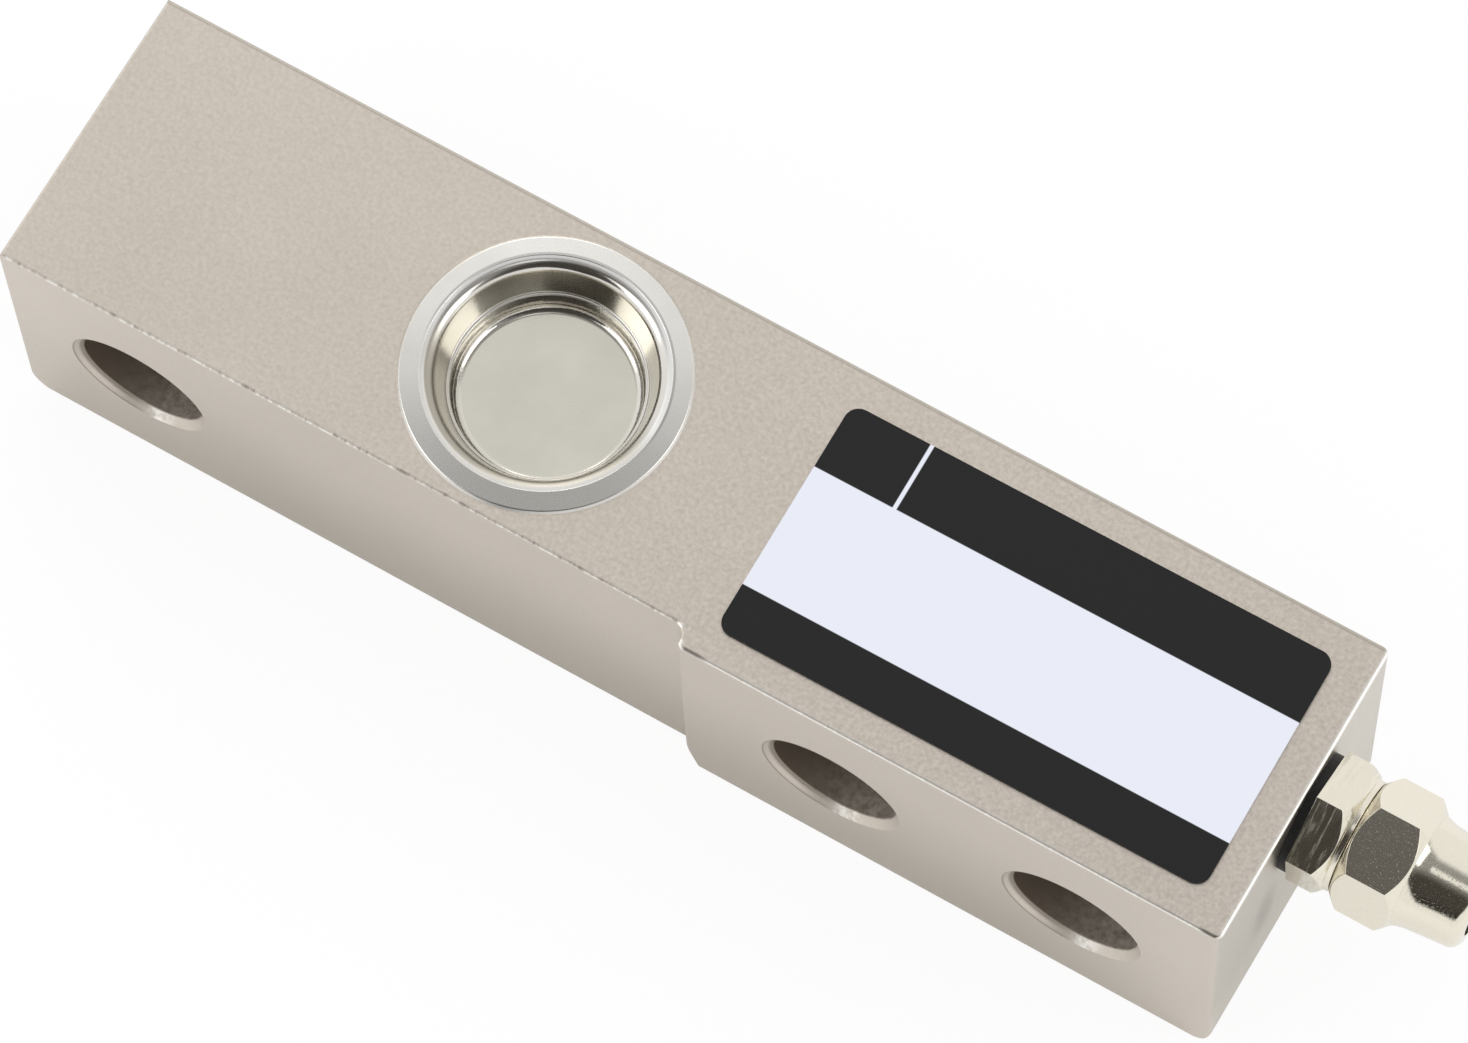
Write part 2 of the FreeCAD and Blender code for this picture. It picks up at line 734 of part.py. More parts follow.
def make_gland_body():
    """Hexagon with a threaded stub, a round collar and a threaded neck, bored for cable and seal."""
    body = new_body("gland_body")
    hexagon = new_sketch(body, "gland_hexagon", "YZ_Plane", "gasket_thickness")
    add_hexagon(hexagon, "gland_turn_angle")
    add_pad(body, hexagon, "gland_hex_length")
    chamfer_hexagon(body, "gland_hex_end", "hex_end", "-")
    turned = new_sketch(body, "gland_section", "XY_Plane")
    stub, collar, neck = "gland_thread / 2", "collar_diameter / 2", "neck_thread / 2"
    add_path(turned, [("stub_start", "0"), ("stub_start", f"{stub} - thread_chamfer"),
                      ("stub_start + thread_chamfer", stub), ("hex_end", stub), ("hex_end", collar),
                      ("collar_end", collar), ("collar_end", neck), ("neck_end - thread_chamfer", neck),
                      ("neck_end", f"{neck} - thread_chamfer"), ("neck_end", "0")])
    add_turned(body, turned, "H_Axis")
    passage = new_sketch(body, "gland_passage", "XY_Plane")
    narrow, wide = "cable_bore / 2", "seal_seat_diameter / 2"
    add_path(passage, [("stub_start", "0"), ("stub_start", narrow), ("seal_seat", narrow),
                       ("seal_seat", wide), ("neck_end", wide), ("neck_end", "0")])
    cut_turned(body, passage, "H_Axis")
    place_on_gland(body)
    return body


def make_cap_nut():
    """Hexagon with a tapered nose, screwed over the neck and closing on the washer."""
    body = new_body("gland_cap_nut")
    hexagon = new_sketch(body, "cap_hexagon", "YZ_Plane", "cap_start")
    add_hexagon(hexagon, "cap_turn_angle")
    add_pad(body, hexagon, "cap_hex_length")
    chamfer_hexagon(body, "cap_inner_end", "cap_start", "+")
    chamfer_hexagon(body, "cap_outer_end", "cap_hex_end", "-")
    nose = new_sketch(body, "nose_section", "XY_Plane")
    add_path(nose, [("cap_hex_end", "0"), ("cap_hex_end", "nose_root_diameter / 2"),
                    ("nose_end", "nose_tip_diameter / 2"), ("nose_end", "0")])
    add_turned(body, nose, "H_Axis")
    dress_edges(body, "Fillet", "nose_round", "nose_radius",
                lambda edge: is_circle(edge, "nose_tip_diameter"))
    passage = new_sketch(body, "cap_passage", "XY_Plane")
    thread, mouth = "neck_thread / 2 + thread_clearance", "mouth_diameter / 2"
    add_path(passage, [("cap_start", "0"), ("cap_start", thread), ("washer_end", thread),
                       ("washer_end", mouth), ("nose_end", mouth), ("nose_end", "0")])
    cut_turned(body, passage, "H_Axis")
    place_on_gland(body)
    return body


def make_ring(label, start, end, outside, inside):
    """Plain ring about the gland's axis."""
    body = new_body(label)
    section = new_sketch(body, f"{label}_section", "XY_Plane")
    add_path(section, [(start, f"{inside} / 2"), (start, f"{outside} / 2"),
                       (end, f"{outside} / 2"), (end, f"{inside} / 2")])
    add_turned(body, section, "H_Axis")
    place_on_gland(body)
    return body


# Whole part


def check_document(parts):
    """Stop before anything is written if a feature failed or a shape isn't sound."""
    for item in doc.Objects:
        if "Invalid" in item.State or "Error" in item.State:
            raise RuntimeError(f"{item.Label} failed: {item.State}")
    for part in parts:
        if part.Shape.isNull() or not part.Shape.isValid():
            raise RuntimeError(f"{part.Label} has no sound shape")


def main():
    """Build every sub-part and write each to its own file."""
    fill_sheet()
    parts = [make_beam(), make_label(), make_crossover_wires(), make_board(), make_bridge_wires()]
    for side in (FRONT, REAR):
        parts += [make_seal_cup(side), make_strain_gauge(side), make_terminal_strip(side),
                  make_gauge_leads(side)]
    parts += [make_chip_resistor(label, *signs) for label, signs in CHIP_SEATS.items()]
    parts += [make_gasket(), make_gland_body(), make_cap_nut(),
              make_ring("gland_seal_insert", "seal_seat", "seal_end", "seal_diameter", "seal_bore"),
              make_ring("gland_thrust_washer", "seal_end", "washer_end", "washer_diameter", "cable_bore")]
    doc.recompute()
    check_document(parts)
    os.makedirs("parts", exist_ok=True)
    for part in parts:
        part.Shape.exportStep(f"parts/{part.Label}.step")
        print(part.Label, len(part.Shape.Solids), round(part.Shape.Volume, 3))


main()
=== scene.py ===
"""Looks of the shear beam load cell: finishes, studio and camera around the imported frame."""

import json
import logging
import math
from dataclasses import dataclass
from enum import Enum
from typing import ClassVar, Mapping, Optional, Sequence, Union

import bmesh
import bpy
from mathutils import Euler, Matrix, Quaternion, Vector


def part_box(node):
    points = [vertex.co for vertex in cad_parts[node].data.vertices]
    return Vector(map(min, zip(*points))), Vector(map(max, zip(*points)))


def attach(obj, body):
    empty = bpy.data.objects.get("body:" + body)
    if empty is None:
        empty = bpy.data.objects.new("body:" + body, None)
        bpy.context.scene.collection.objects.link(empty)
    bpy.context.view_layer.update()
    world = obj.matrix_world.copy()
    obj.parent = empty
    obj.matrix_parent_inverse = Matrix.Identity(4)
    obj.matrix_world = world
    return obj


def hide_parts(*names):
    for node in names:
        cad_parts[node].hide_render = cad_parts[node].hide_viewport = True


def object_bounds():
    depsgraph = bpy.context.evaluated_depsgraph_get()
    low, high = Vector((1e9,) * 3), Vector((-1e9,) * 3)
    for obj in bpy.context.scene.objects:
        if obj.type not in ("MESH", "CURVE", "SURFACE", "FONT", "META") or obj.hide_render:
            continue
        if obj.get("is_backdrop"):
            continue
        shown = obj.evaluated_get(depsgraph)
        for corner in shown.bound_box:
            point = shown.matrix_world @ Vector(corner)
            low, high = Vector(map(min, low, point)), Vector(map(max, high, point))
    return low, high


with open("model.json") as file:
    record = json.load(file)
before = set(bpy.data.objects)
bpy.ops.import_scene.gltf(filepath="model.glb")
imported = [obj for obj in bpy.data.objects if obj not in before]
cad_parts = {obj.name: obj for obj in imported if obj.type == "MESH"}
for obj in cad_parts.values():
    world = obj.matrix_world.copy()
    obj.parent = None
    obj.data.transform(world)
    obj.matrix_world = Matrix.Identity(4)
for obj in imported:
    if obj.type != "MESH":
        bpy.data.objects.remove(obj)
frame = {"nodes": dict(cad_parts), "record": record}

LOG = logging.getLogger("load_cell")
MM = 0.001
MERGE = 1e-7
TOUCH = 2e-6
EDGE_CUTS = 2
BROKEN_ANGLE = math.radians(24)
SHARP_ANGLE = math.radians(30)
FAR = 1000.0
NOISE_MEAN = 0.5
MIX_FACTOR, MIX_LOW, MIX_HIGH, MIX_RESULT = 0, 6, 7, 2
SORT_POINT = (0.31, -0.17, 0.73)
BODY = "root"
WHITE = (1.0, 1.0, 1.0, 1.0)
Colour = tuple[float, float, float]
Span = tuple[float, float]
Number = Union["Signal", float]


def scaled(colour: Colour, share: float) -> Colour:
    """Colour made darker or lighter."""
    return tuple(share * part for part in colour)


class Signal:
    """One output socket of a shader node, with arithmetic on values."""

    def __init__(self, tree: "ShaderTree", socket: bpy.types.NodeSocket) -> None:
        """Keep the socket and the tree that it belongs to."""
        self.tree = tree
        self.socket = socket

    def output(self, name: str) -> "Signal":
        """Another output of the same node."""
        return Signal(self.tree, self.socket.node.outputs[name])

    def __add__(self, other: Number) -> "Signal":
        """Sum of two values."""
        return self.tree.math("ADD", self, other)

    __radd__ = __add__

    def __sub__(self, other: Number) -> "Signal":
        """This value less another."""
        return self.tree.math("SUBTRACT", self, other)

    def __rsub__(self, other: Number) -> "Signal":
        """Another value less this one."""
        return self.tree.math("SUBTRACT", other, self)

    def __mul__(self, other: Number) -> "Signal":
        """Product of two values."""
        return self.tree.math("MULTIPLY", self, other)

    __rmul__ = __mul__

    def __abs__(self) -> "Signal":
        """Size of the value without its sign."""
        return self.tree.math("ABSOLUTE", self)

    @property
    def swing(self) -> "Signal":
        """Noise around 0, not around its mean."""
        return self - NOISE_MEAN

    def ramp(self, low: float, high: float) -> "Signal":
        """Smooth step from 0 at low to 1 at high; low may be the larger.

        Args:
            low: value where the step starts.
            high: value where the step ends.

        Returns:
            The step, from 0 to 1.
        """
        return self.tree.node("ShaderNodeMapRange", {"interpolation_type": "SMOOTHSTEP"},
                              {"Value": self, "From Min": low, "From Max": high})

    def or_else(self, other: Number) -> "Signal":
        """Larger of two masks."""
        return self.tree.math("MAXIMUM", self, other)


class ShaderTree:
    """Node tree of a material or a world, written as expressions on signals."""

    def __init__(self, owner: Union[bpy.types.Material, bpy.types.World]) -> None:
        """Take over the owner's tree and empty it.

        Args:
            owner: material or world that is written.
        """
        owner.use_nodes = True
        self.tree = owner.node_tree
        self.tree.nodes.clear()
        self._point: Optional[Signal] = None

    def node(self, kind: str, settings: Optional[Mapping[str, object]] = None,
             inputs: Optional[Mapping[Union[str, int], object]] = None,
             output: Union[str, int] = 0) -> Optional[Signal]:
        """Add one node.

        Args:
            kind: type of the node.
            settings: properties, set before the sockets.
            inputs: a value or a signal for each socket that is set, by name or number.
            output: the output to give back.

        Returns:
            That output, or nothing for a node without outputs.
        """
        made = self.tree.nodes.new(kind)
        for name, value in (settings or {}).items():
            setattr(made, name, value)
        for key, value in (inputs or {}).items():
            if isinstance(value, Signal):
                self.tree.links.new(value.socket, made.inputs[key])
            else:
                made.inputs[key].default_value = value
        return Signal(self, made.outputs[output]) if made.outputs else None

    def math(self, operation: str, first: Number, second: Number = 0.0) -> Signal:
        """Math node on one or two values."""
        return self.node("ShaderNodeMath", {"operation": operation}, {0: first, 1: second})

    def mix(self, factor: Number, low: Union[Signal, Colour], high: Union[Signal, Colour]) -> Signal:
        """Blend of two colours.

        Args:
            factor: 0 for the first colour, 1 for the second.
            low: first colour.
            high: second colour.

        Returns:
            The blended colour.
        """
        ends = [end if isinstance(end, Signal) else (*end, 1.0) for end in (low, high)]
        return self.node("ShaderNodeMix", {"data_type": "RGBA"},
                         {MIX_FACTOR: factor, MIX_LOW: ends[0], MIX_HIGH: ends[1]}, MIX_RESULT)

    @property
    def point(self) -> Signal:
        """Object coordinates in millimetres.

        Returns:
            The vector, which is made once for the tree.
        """
        if self._point is None:
            place = self.node("ShaderNodeTexCoord", output="Object")
            self._point = self.node("ShaderNodeVectorMath", {"operation": "SCALE"},
                                    {0: place, "Scale": 1 / MM})
        return self._point

    def place(self) -> tuple[Signal, Signal, Signal]:
        """Object coordinates in millimetres, one by one."""
        return self.split(self.point)

    def facing(self) -> tuple[Signal, Signal, Signal]:
        """Direction that the surface faces, one coordinate at a time."""
        return self.split(self.node("ShaderNodeTexCoord", output="Normal"))

    def split(self, vector: Signal) -> tuple[Signal, Signal, Signal]:
        """Coordinates of a vector."""
        first = self.node("ShaderNodeSeparateXYZ", inputs={0: vector})
        return first, first.output("Y"), first.output("Z")

    def distance(self, first: Signal, second: Signal) -> Signal:
        """Length of a vector of two coordinates."""
        return self.math("SQRT", first * first + second * second)

    def noise(self, per_mm: float, detail: float = 2.0, roughness: float = 0.5,
              stretch: Sequence[float] = (1.0, 1.0, 1.0)) -> Signal:
        """Noise around 0.5.

        Args:
            per_mm: features in a millimetre.
            detail: number of finer layers.
            roughness: strength of the finer layers.
            stretch: share of the frequency along each axis.

        Returns:
            The noise.
        """
        vector = self.node("ShaderNodeVectorMath", {"operation": "MULTIPLY"},
                           {0: self.point, 1: stretch})
        return self.node("ShaderNodeTexNoise", inputs={"Vector": vector, "Scale": per_mm,
                                                       "Detail": detail, "Roughness": roughness})

    def bump(self, height: Number, depth: float, strength: float = 0.5) -> Signal:
        """Normal of a surface with small relief.

        Args:
            height: relief from 0 to 1.
            depth: depth of the relief in millimetres.
            strength: share of the relief that is used.

        Returns:
            The normal.
        """
        return self.node("ShaderNodeBump", inputs={"Height": height, "Distance": depth * MM,
                                                   "Strength": strength})

    def surface(self, **sockets: Union[Signal, float, Colour]) -> None:
        """Principled surface of the tree.

        Args:
            sockets: values or signals by socket name, with underscores for spaces.
        """
        inputs = {name.replace("_", " "): (*value, 1.0) if isinstance(value, tuple) else value
                  for name, value in sockets.items()}
        shader = self.node("ShaderNodeBsdfPrincipled", inputs=inputs)
        self.node("ShaderNodeOutputMaterial", inputs={"Surface": shader})

    def seen_ray(self) -> Signal:
        """Rays that show the surroundings.

        Returns:
            1 for rays from the camera, and for those that metal or glass sends on.
        """
        path = self.node("ShaderNodeLightPath", output="Is Camera Ray")
        glossy, clear = path.output("Is Glossy Ray"), path.output("Is Transmission Ray")
        return path.or_else(glossy).or_else(clear)


@dataclass(frozen=True)
class Finish:
    """A finish that covers one or more pieces."""

    name: str

    def shade(self, tree: ShaderTree) -> None:
        """Write the finish into an empty tree."""
        raise NotImplementedError

    def cover(self, *pieces: bpy.types.Object) -> None:
        """Make the material and give it to each piece.

        Args:
            pieces: pieces that are covered.
        """
        material = bpy.data.materials.new(self.name)
        self.shade(ShaderTree(material))
        for piece in pieces:
            piece.data.materials.clear()
            piece.data.materials.append(material)
            LOG.info("%s is finished in %s", piece.name, self.name)


@dataclass(frozen=True)
class BlastedNickel(Finish):
    """Satin nickel plating over blasted steel, with burnished edges under painted highlight, dull bores with
    painted shade and light, and painted shade on the sides and ends.
    """

    name: str = "blasted_nickel"
    shade_dark: Colour = (0.553, 0.497, 0.433)
    shade_light: Colour = (0.753, 0.689, 0.616)
    end_tint: Colour = (0.62, 0.605, 0.535)
    end_share: float = 0.4
    # colour of the painted shade on the sides, the ends and the far edge
    painted_shade_tint: Colour = (0.36, 0.33, 0.28)
    # bore wall colours, from its dark side to its side with painted light
    bore_dark: Colour = (0.16, 0.127, 0.095)
    bore_lit_side: Colour = (0.46, 0.42, 0.37)
    # colour of painted highlight on the edges and the bore mouths, over burnished wear
    wear_and_highlight_tint: Colour = (0.97, 0.95, 0.90)
    # colour of the tool marks in the bores and of painted shade lines on the edges
    marks_and_edge_shade: Colour = (0.16, 0.135, 0.105)
    tone: float = 0.56
    grain_per_mm: float = 2.4
    grain_share: float = 0.6
    flat_grain: float = 0.7
    coarse_grain: float = 0.6
    coarsening: Span = (-80.0, 0.0)
    cloud_per_mm: float = 0.07
    cloud_share: float = 0.28
    ground_per_mm: float = 2.2
    ground_share: float = 0.6
    roughness: float = 0.46
    side_polish: float = 0.08
    end_polish: float = 0.14
    edge_polish: float = 0.1
    square: Span = (0.6, 0.9)
    pad_length: float = 55.7
    relief: float = 2.0
    # painted shade on the sides and ends, and a painted shadow of the gland on the cable end
    base_shade: float = 0.1
    side_shade: float = 0.4
    side_start: Span = (-16.0, 30.0)
    side_stop: float = 22.0
    side_fade: Span = (9.0, -15.0)
    end_shade: float = 0.26
    end_rise: Span = (27.0, 7.0)
    end_fade: Span = (-13.0, -2.0)
    gland_shadow: tuple[float, float] = (9.5, -1.0)
    gland_shadow_squeeze: float = 2.6
    gland_shadow_edge: Span = (8.0, 1.0)
    gland_shadow_share: float = 0.5
    # painted shade along the far edge
    far_edge: Span = (0.55, 0.3)
    far_edge_shade: float = 0.62
    hole_chamfer: float = 0.8
    hole_margin: Span = (1.0, 0.9)
    hole_soft: Span = (0.12, 0.04)
    light_share: float = 0.9
    ring_per_mm: float = 3.2
    mottle_per_mm: float = 1.1
    free_edge: Span = (0.32, 0.1067)
    pad_edge: Span = (0.416, 0.1067)
    cable_edge: Span = (0.512, 0.1067)
    step_glint_edge: Span = (0.5, 0.2)
    # places of the painted shade lines along the edges
    pad_shade_line: Span = (0.3, 0.15)
    free_shade_line: Span = (0.3, 0.1)
    shade_line_drop: float = 0.1

    def shade(self, tree: ShaderTree) -> None:
        """Write the finish into an empty tree.

        Args:
            tree: tree of the new material.
        """
        x, y, z = tree.place()
        across, along, up = tree.facing()
        flat, end, side = (abs(part).ramp(*self.square) for part in (up, across, along))
        grain = tree.noise(self.grain_per_mm, detail=3.0, roughness=0.62)
        coarse = x.ramp(*self.coarsening)
        cloud = tree.noise(self.cloud_per_mm, detail=3.0)
        ground = tree.noise(self.ground_per_mm, stretch=(1.0, 1.0, 0.05))
        speckle = grain.swing * (self.grain_share + flat * (self.flat_grain + self.coarse_grain * coarse))
        tone = (self.tone + speckle + cloud.swing * self.cloud_share
                + ground.swing * self.ground_share * end)
        colour = tree.mix(tone, self.shade_dark, self.shade_light)
        colour = tree.mix(self.end_share * end, colour, self.end_tint)
        # painted shade: sides darker low down, ends darker towards the pad, a painted shadow of the gland on
        # the cable end, and the far edge darker
        colour = tree.mix(self.painted_shade(tree, x, y, z, side, end), colour, self.painted_shade_tint)
        # painted highlight along the edges and a painted glint by the step, over burnished wear
        edge = self.edge_wear_and_highlight(tree, x, y, z)
        colour = tree.mix(edge, colour, self.wear_and_highlight_tint)
        # painted shade: dark lines on the pad edge by the step and the cable end, and dark dashes on the free
        # edge
        colour = tree.mix(self.painted_edge_shade(tree, x, y, z), colour, self.marks_and_edge_shade)
        colour, bore = self.bored(tree, x, z, colour)
        polish = self.side_polish * side + self.end_polish * end + self.edge_polish * edge
        tree.surface(Base_Color=colour, Metallic=1 - 0.7 * bore,
                     Roughness=self.roughness - polish + grain.swing * 0.1,
                     Normal=tree.bump(grain * (0.3 + 0.7 * flat), 0.014, 0.6))

    def painted_shade(self, tree: ShaderTree, x: Signal, y: Signal, z: Signal, side: Signal, end: Signal) -> Signal:
        """Mask of painted shade on the sides, the ends and the far edge.

        Args:
            tree: tree to add to.
            x: place along the beam.
            y: place up from the pad.
            z: place across the beam.
            side: mask of the long sides.
            end: mask of the ends.

        Returns:
            Painted shade from 0 to 1: darker low on the sides, towards the pad on the ends, with a painted
                shadow of the gland on the cable end, and along the far edge.
        """
        low, high = (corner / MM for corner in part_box("beam_body"))
        start, full = self.side_start
        middle = x.ramp(low.x + start, low.x + full) * x.ramp(high.x, high.x - self.side_stop)
        sides = side * (self.base_shade + self.side_shade * z.ramp(*self.side_fade) * middle)
        height, level = self.gland_shadow
        reach = tree.distance((y - height) * self.gland_shadow_squeeze, z - level)
        gland_shadow_mask = reach.ramp(*self.gland_shadow_edge) * x.ramp(0.0, 1.0)
        lower = self.end_shade * y.ramp(*self.end_rise) + self.gland_shadow_share * gland_shadow_mask
        ends = end * (self.base_shade + lower * z.ramp(*self.end_fade))
        far = tree.distance(y - high.y, z - high.z).ramp(*self.far_edge)
        return sides + ends + self.far_edge_shade * far

    def cross_holes(self) -> list[Mapping[str, object]]:
        """Holes across the beam, from the record."""
        return [mount for mount in frame["record"]["mounts"] if mount["kind"] == "bore" and mount["axis"][1]]

    def bored(self, tree: ShaderTree, x: Signal, z: Signal, colour: Signal) -> tuple[Signal, Signal]:
        """Colour with the cross holes: dark mottled walls with painted shade to the left and painted light to
        the right, tool marks round their mouths, and a painted glint low on the right of each mouth.

        Args:
            tree: tree to add to.
            x: place along the beam.
            z: place across it.
            colour: colour of the surface around.

        Returns:
            The colour, and the mask of the walls.
        """
        holes = self.cross_holes()
        radius = holes[0]["dims"]["r_mm"]
        wide = radius + self.hole_chamfer
        reach, shift = tree.distance(x, z) + FAR, x
        for hole in holes:
            offset = x - hole["pos_m"][0] / MM
            nearer = tree.distance(offset, z - hole["pos_m"][2] / MM)
            here = nearer.ramp(*(wide + margin for margin in self.hole_margin))
            shift = shift + here * (offset - shift)
            reach = tree.math("MINIMUM", reach, nearer)
        lit = self.light_share * radius
        right = shift.ramp(-lit, lit)
        bore = reach.ramp(*(radius + soft for soft in self.hole_soft))
        mouth = reach.ramp(wide + 0.1, wide) * (1 - bore)
        rings = tree.node("ShaderNodeTexNoise", {"noise_dimensions": "1D"},
                          {"W": reach, "Scale": self.ring_per_mm, "Detail": 1.0})
        mottle = tree.noise(self.mottle_per_mm, detail=4.0, roughness=0.7)
        marks = mouth * rings.ramp(0.45, 0.6) * right.ramp(0.62, 0.1)
        lower_right = right.ramp(0.45, 0.62) * right.ramp(0.9, 0.7) * z.ramp(-3.0, -6.0)
        # painted highlight: a glint low on the right of each mouth
        glint = mouth * lower_right * mottle.ramp(0.35, 0.6)
        colour = tree.mix(0.7 * marks, colour, self.marks_and_edge_shade)
        colour = tree.mix(0.85 * glint, colour, self.wear_and_highlight_tint)
        # painted shade and light: the wall darker to the left and lighter to the right, with mottle
        wall = tree.mix(right * (0.3 + 2.4 * (mottle - 0.4)), self.bore_dark, self.bore_lit_side)
        return tree.mix(bore, colour, wall), bore

    def pad_start(self) -> float:
        """Place along the beam where the pad starts."""
        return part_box("beam_body")[1].x / MM - self.pad_length

    def free_part(self, x: Signal) -> Signal:
        """Mask of the part of the beam before the pad."""
        return x.ramp(self.pad_start(), self.pad_start() - 1.0)

    def dashes(self, tree: ShaderTree) -> Signal:
        """Uneven marks along the edges, from 0 to 1."""
        return tree.noise(1.5, detail=3.0, roughness=0.65, stretch=(1.0, 0.2, 0.2))

    def edge_wear_and_highlight(self, tree: ShaderTree, x: Signal, y: Signal, z: Signal) -> Signal:
        """Mask of the edges where the plating is burnished, with painted highlight on them.

        Args:
            tree: tree to add to.
            x: place along the beam.
            y: place up from the pad.
            z: place across the beam.

        Returns:
            Brightness from 0 to 1: painted highlight broken on the free edge, steadier on the pad's, whole at
                the cable end, and a painted glint by the step.
        """
        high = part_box("beam_body")[1] / MM
        below = z - high.z
        dashes = self.dashes(tree).ramp(0.5, 0.6)
        on_free = self.free_part(x)
        free = tree.distance(y - self.relief, below).ramp(*self.free_edge) * on_free
        pad = tree.distance(y, below).ramp(*self.pad_edge) * (1 - on_free)
        cable = tree.distance(x - high.x, below).ramp(*self.cable_edge)
        # painted glint at the step corner
        beside = tree.distance(x - self.pad_start() + 0.5, y - 0.5)
        step_glint = tree.distance(beside, below).ramp(*self.step_glint_edge)
        broken = (free * (0.2 + 0.65 * dashes)).or_else(pad * (0.65 + 0.3 * dashes))
        return broken.or_else(cable).or_else(step_glint)

    def painted_edge_shade(self, tree: ShaderTree, x: Signal, y: Signal, z: Signal) -> Signal:
        """Mask of the painted shade lines along the edges.

        Args:
            tree: tree to add to.
            x: place along the beam.
            y: place up from the pad.
            z: place across the beam.

        Returns:
            Painted shade from 0 to 1: broken on the free edge, short on the pad's at the step and the cable
                end.
        """
        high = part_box("beam_body")[1] / MM
        start, below = self.pad_start(), z - high.z
        pad = tree.distance(y - self.shade_line_drop, below).ramp(*self.pad_shade_line)
        step = x.ramp(start, start + 0.3) * x.ramp(start + 3.0, start + 1.5)
        cable = x.ramp(high.x - 2.6, high.x - 1.6) * x.ramp(high.x - 0.3, high.x - 0.6)
        free = tree.distance(y - self.relief - self.shade_line_drop, below).ramp(*self.free_shade_line)
        broken = free * self.free_part(x) * self.dashes(tree).ramp(0.46, 0.36)
        return (0.7 * pad * step.or_else(cable)).or_else(0.45 * broken)


@dataclass(frozen=True)
class DrawnStainless(Finish):
    """Stainless sheet drawn into a cup: satin flange, painted highlight on the far lip, painted shade on the
    near lip and wall and in a ring on the far flange, bright wall, puckers round the floor.
    """

    name: str = "drawn_stainless"
    axis: tuple[float, float] = (0.0, 0.0)
    face: float = 0.0
    tint: Colour = (0.76, 0.745, 0.71)
    floor_tint: Colour = (0.685, 0.664, 0.582)
    wall_tint: Colour = (0.74, 0.715, 0.67)
    # colour of the painted highlight on the far half of the lip
    lip_highlight_tint: Colour = (0.97, 0.965, 0.95)
    # colour of the painted shade on the near half of the lip and the wall
    near_shade_tint: Colour = (0.42, 0.39, 0.33)
    # colour of a painted shade ring at the flange's inner edge, on the far half
    shade_ring_tint: Colour = (0.42, 0.41, 0.40)
    flange_start: Span = (11.2, 11.7)
    floor_edge: Span = (8.6, 8.0)
    floor_level: Span = (5.5, 5.7)
    corner_level: Span = (3.2, 3.8)
    wall_level: Span = (0.6, 1.2)
    far_half: Span = (-4.0, 2.0)
    lip_inner: Span = (11.05, 11.3)
    lip_outer: Span = (11.77, 11.67)
    # place and share of the painted shade on the near half of the lip and the wall
    near_shade_inner: Span = (10.1, 10.3)
    near_shade_outer: Span = (11.3, 11.1)
    near_wall_shade: float = 0.6
    # radius, width and share of the painted shade ring
    shade_ring: float = 11.82
    shade_ring_edge: Span = (0.18, 0.05)
    shade_ring_share: float = 0.85
    roughness: float = 0.15
    flange_satin: float = 0.13
    near_shade_satin: float = 0.2

    def shade(self, tree: ShaderTree) -> None:
        """Write the finish into an empty tree.

        Args:
            tree: tree of the new material.
        """
        x, y, z = tree.place()
        reach = tree.distance(x - self.axis[0], y - self.axis[1])
        depth = self.face - abs(z)
        flange = reach.ramp(*self.flange_start)
        floor = reach.ramp(*self.floor_edge) * depth.ramp(*self.floor_level)
        corner = depth.ramp(*self.corner_level) * (1 - floor)
        wall = depth.ramp(*self.wall_level) * (1 - floor)
        far = (y - self.axis[1]).ramp(*self.far_half)
        lip = far * (reach.ramp(*self.lip_inner) * reach.ramp(*self.lip_outer))
        near_shade = reach.ramp(*self.near_shade_inner) * reach.ramp(*self.near_shade_outer) * (1 - far)
        shade_ring = far * abs(reach - self.shade_ring).ramp(*self.shade_ring_edge)
        cloud = tree.noise(0.22)
        fine = tree.noise(7.0)
        pucker = tree.noise(0.8, detail=3.0, roughness=0.6)
        colour = tree.mix(flange, self.wall_tint, self.tint)
        colour = tree.mix(floor, colour, self.floor_tint)
        # painted highlight: a bright band on the far half of the lip
        colour = tree.mix(lip, colour, self.lip_highlight_tint)
        # painted shade on the near half of the lip and the wall
        colour = tree.mix(near_shade.or_else(self.near_wall_shade * wall * (1 - far)), colour, self.near_shade_tint)
        # painted shade: a dark ring at the flange's inner edge, on the far half only
        colour = tree.mix(self.shade_ring_share * shade_ring, colour, self.shade_ring_tint)
        colour = tree.mix(0.5 * (cloud - 0.3), colour, scaled(self.floor_tint, 0.77))
        roughness = (self.roughness + self.flange_satin * flange + self.near_shade_satin * near_shade
                     + fine.swing * 0.06 + cloud.swing * 0.06)
        relief = 0.03 * fine * flange.or_else(floor) + 0.12 * cloud + pucker * corner
        tree.surface(Base_Color=colour, Metallic=1.0, Roughness=roughness,
                     Normal=tree.bump(relief, 0.06, 0.7))


